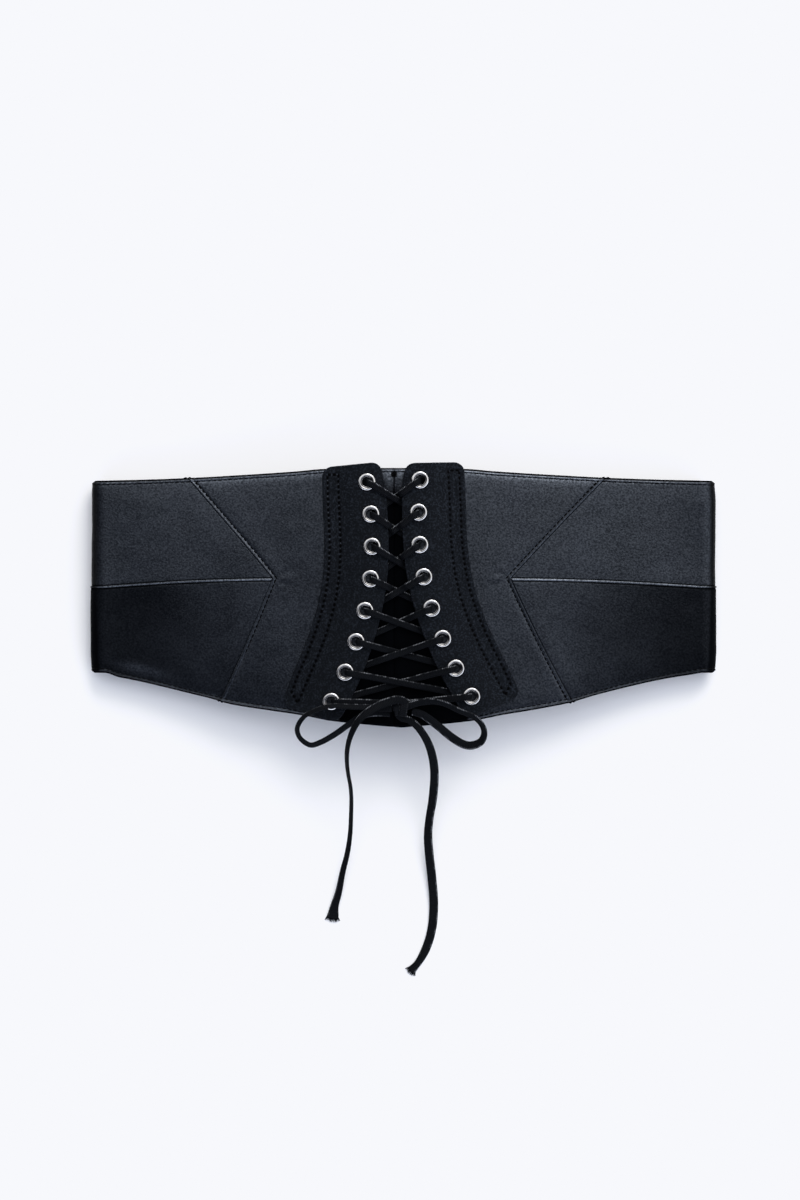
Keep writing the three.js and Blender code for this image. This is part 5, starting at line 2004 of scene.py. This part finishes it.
@dataclass
class Bow:
    """The knot, its two loops and its two tails."""

    finishes: Finishes
    lacing: Lacing
    band: Band = Band(wall=0.9 * MM)
    fibres: int = 18
    fray: float = 2.1 * MM
    fibre_width: float = 0.36 * MM
    core_size: Triple = (8.6 * MM, 7.2 * MM, 4.4 * MM)

    def free_lace(self, lace: FreeLace) -> Piece:
        line = curve_through(np.array([*lace.lead_in, *lace.route]), self.band.step)
        lengths = line_lengths(line)
        share = lengths / lengths[-1]
        tangents = unit(np.gradient(line, axis=0))
        level = unit(np.stack([-tangents[:, 1], tangents[:, 0], np.zeros(len(line))], axis=-1))
        level = -level if lace.mirrored else level
        up = np.cross(tangents, level)
        roll = np.radians(lace.rolls.at(share))[:, None]
        acrosses = level * np.cos(roll) + up * np.sin(roll)
        widths = self.band.width * lace.widths.at(share)
        piece = self.band.mesh(f"woven_{lace.name}", line, widths, acrosses)
        dress(piece, self.finishes.lace, "lace", lace.name)
        return piece

    def wrap(self, shift: float, radius: Pair, slant: float, width: float) -> Piece:
        """One turn of lace round the knot.

        Args:
            shift: how far its middle lies to the right of the knot's middle.
            radius: half its height in plan and half its height above the leather.
            slant: how far it leans to the right on its way round.
            width: the lace's width there.

        Returns:
            The turn's mesh.
        """
        centre = self.lacing.knot_centre
        turns = np.linspace(-0.06, 1.06, 56) * 2 * np.pi
        line = np.stack(
            [
                centre[0] + shift + slant * np.cos(turns),
                centre[1] + radius[0] * np.cos(turns),
                centre[2] + radius[1] * np.sin(turns) + 0.25 * MM * (turns / turns[-1]),
            ],
            axis=-1,
        )
        acrosses = np.tile(np.array([1.0, -slant / radius[0], 0.0]), (len(line), 1))
        return self.band.mesh("knot_turn", line, np.full(len(line), width), acrosses)

    def knot(self) -> Piece:
        """The knot: two turns of lace wound over the crossing strands, round a tight core."""
        centre = self.lacing.knot_centre
        bpy.ops.object.select_all(action="DESELECT")
        bpy.ops.mesh.primitive_uv_sphere_add(
            segments=24, ring_count=14, radius=0.5, location=centre, scale=self.core_size
        )
        core = bpy.context.object
        bpy.ops.object.transform_apply(location=True, rotation=False, scale=True)
        turns = [
            self.wrap(2.1 * MM, (4.5 * MM, 2.2 * MM), 0.7 * MM, 4.4 * MM),
            self.wrap(-1.9 * MM, (3.4 * MM, 1.7 * MM), -1.1 * MM, 4.0 * MM),
        ]
        knot = joined([*turns, core])
        knot.name = "woven_lace_knot"
        return dress(knot, self.finishes.lace, "lace", "lace_knot")

    def frayed_end(self, lace: FreeLace) -> Piece:
        """The loose threads at a tail's cut end."""
        line = curve_through(np.array(lace.route), self.band.step)
        end = line[-1]
        ahead = unit(line[-1] - line[-3])
        beside = np.array([-ahead[1], ahead[0], 0.0])
        half = self.band.width * float(lace.widths.at(1.0)) / 2
        points, faces = [], []
        for index in range(self.fibres):
            share = 2 * index / (self.fibres - 1) - 1
            reach = self.fray * (0.55 + 0.45 * math.sin(2.9 * index + 0.7) ** 2)
            turn = 0.45 * share + 0.3 * math.sin(5.3 * index)
            root = end + beside * half * share * 0.9 - ahead * 0.8 * MM
            heading = ahead * math.cos(turn) + beside * math.sin(turn)
            lift = np.array([0.0, 0.0, 0.25 * MM * math.sin(3.1 * index)])
            tip = root + heading * (reach + 0.8 * MM) + lift
            across = np.array([-heading[1], heading[0], 0.0]) * self.fibre_width
            up = np.array([0.0, 0.0, self.fibre_width])
            first = len(points)
            points += [root + across, root + up, root - across]
            points += [tip + 0.5 * across, tip + 0.5 * up, tip - 0.5 * across]
            triangles = [[0, 2, 1], [3, 4, 5], [0, 1, 4, 3], [1, 2, 5, 4], [2, 0, 3, 5]]
            faces += [[first + corner for corner in face] for face in triangles]
        piece = mesh_piece(f"frayed_{lace.name}", points, faces)
        piece.data.uv_layers.new(name="UVMap")
        face_outwards(piece)
        return dress(piece, self.finishes.lace, "lace")

    def build(self) -> None:
        """Builds the knot and the free laces."""
        for lace in (LEFT_LOOP, RIGHT_LOOP, LEFT_TAIL, RIGHT_TAIL):
            self.free_lace(lace)
        for lace in (LEFT_TAIL, RIGHT_TAIL):
            self.frayed_end(lace)
        self.knot()


@dataclass(frozen=True)
class Studio:
    """The floor, the lights and the camera over the belt."""

    view_centre: Pair = (-1.95 * MM, -3.07 * MM)
    view_height: float = 669.8 * MM
    focus_level: float = 25 * MM
    lens: float = 180.0
    sensor: float = 36.0
    floor_size: float = 3.0
    floor_colour: Triple = (0.92, 0.925, 0.94)
    key_turn: float = math.radians(72)
    key_rise: float = math.radians(26)
    key_spread: float = math.radians(46)
    key_power: float = 2.65
    key_colour: Triple = (1.0, 0.985, 0.965)
    sky_turn: float = math.radians(73)
    sky_dim: Triple = (0.06, 0.068, 0.094)
    sky_bright: Triple = (1.4, 1.41, 1.45)
    sky_reach: Pair = (-0.24, 0.34)
    horizon_reach: Pair = (0.02, 0.5)
    horizon_dim: float = 0.25
    fill_turn: float = math.radians(-72)
    fill_colour: Triple = (2.2, 2.36, 2.76)
    fill_reach: Pair = (0.2, 0.62)
    fill_top: Pair = (0.48, 0.72)
    whites: Triple = (0.93, 0.939, 0.972)
    shoulder: tuple[Pair, ...] = ((0.25, 0.25), (0.5, 0.5), (0.75, 0.76), (0.9, 0.89))

    def camera(self) -> None:
        """Hangs the camera straight above the belt."""
        data = bpy.data.cameras.new("view_from_above")
        data.lens = self.lens
        data.sensor_width = self.sensor
        data.clip_end = 100.0
        camera = bpy.data.objects.new("view_from_above", data)
        distance = self.view_height * self.lens / self.sensor
        camera.location = (*self.view_centre, self.focus_level + distance)
        bpy.context.scene.collection.objects.link(camera)
        bpy.context.scene.camera = camera

    def floor(self) -> None:
        """Lays the plain pale floor."""
        bpy.ops.object.select_all(action="DESELECT")
        bpy.ops.mesh.primitive_plane_add(size=self.floor_size)
        floor = added("floor")
        nodes = Nodes("pale_floor")
        nodes.set(Base_Color=(*self.floor_colour, 1.0), Roughness=0.9, Specular_IOR_Level=0.0)
        floor.data.materials.append(nodes.material)

    def key_light(self) -> None:
        """Hangs one large soft light to the upper right."""
        data = bpy.data.lights.new("soft_key", "SUN")
        data.energy = self.key_power
        data.angle = self.key_spread
        data.color = self.key_colour
        lamp = bpy.data.objects.new("soft_key", data)
        towards = Vector(
            (
                math.cos(self.key_turn) * math.cos(self.key_rise),
                math.sin(self.key_turn) * math.cos(self.key_rise),
                math.sin(self.key_rise),
            )
        )
        lamp.rotation_mode = "QUATERNION"
        lamp.rotation_quaternion = towards.to_track_quat("Z", "Y")
        bpy.context.scene.collection.objects.link(lamp)

    def sky(self) -> None:
        """Fills the room with pale light, a little stronger from the key's side."""
        world = bpy.data.worlds.new("pale_room")
        world.use_nodes = True
        sky = Tree(world.node_tree)
        place = sky.add("ShaderNodeTexCoord").outputs["Generated"]
        split = sky.add("ShaderNodeSeparateXYZ")
        sky.join(place, split.inputs["Vector"])
        height = split.outputs["Z"]

        def facing(turn: float, reach: Pair) -> Socket:
            """How far a direction looks to one side of the room, from 0 to 1."""
            dot = sky.add("ShaderNodeVectorMath", operation="DOT_PRODUCT")
            dot.inputs[1].default_value = (math.cos(turn), math.sin(turn), 0.0)
            sky.join(place, dot.inputs[0])
            return sky.ranged(dot.outputs["Value"], reach, smooth=True)

        overhead = sky.mixed(facing(self.sky_turn, self.sky_reach), self.sky_dim, self.sky_bright)
        rising = sky.ranged(height, self.horizon_reach, (self.horizon_dim, 1.0), smooth=True)
        darkened = sky.mixed(rising, (0.0, 0.0, 0.0), overhead)
        low = sky.ranged(height, self.fill_top, (1.0, 0.0), smooth=True)
        share = sky.math("MULTIPLY", facing(self.fill_turn, self.fill_reach), low)
        lit = sky.mixed(share, darkened, self.fill_colour)
        sky.join(lit, sky.tree.nodes["Background"].inputs["Color"])
        bpy.context.scene.world = world

    def build(self) -> None:
        """Sets the studio up."""
        self.camera()
        self.floor()
        self.key_light()
        self.sky()
        self.response()

    def response(self) -> None:
        """Lets the brightest whites settle a little under full white, as a camera does."""
        view = bpy.context.scene.view_settings
        view.view_transform = "Standard"
        view.use_curve_mapping = True
        mapping = view.curve_mapping
        mapping.extend = "HORIZONTAL"
        for curve, white in zip(mapping.curves, self.whites):
            curve.points[-1].location = (1.0, white)
            for place, share in self.shoulder:
                curve.points.new(place, share)
        mapping.update()


def main() -> None:
    """Builds the belt and its studio in order."""
    logging.basicConfig(level=logging.INFO, format="%(message)s")
    Studio().build()
    finishes = Finishes()
    lacing = Lacing(finishes)
    Bow(finishes, lacing).build()
    lacing.build()
    EyeletFlaps(finishes).build()
    LeatherPanels(finishes).build()


if __name__ == "__main__":
    main()
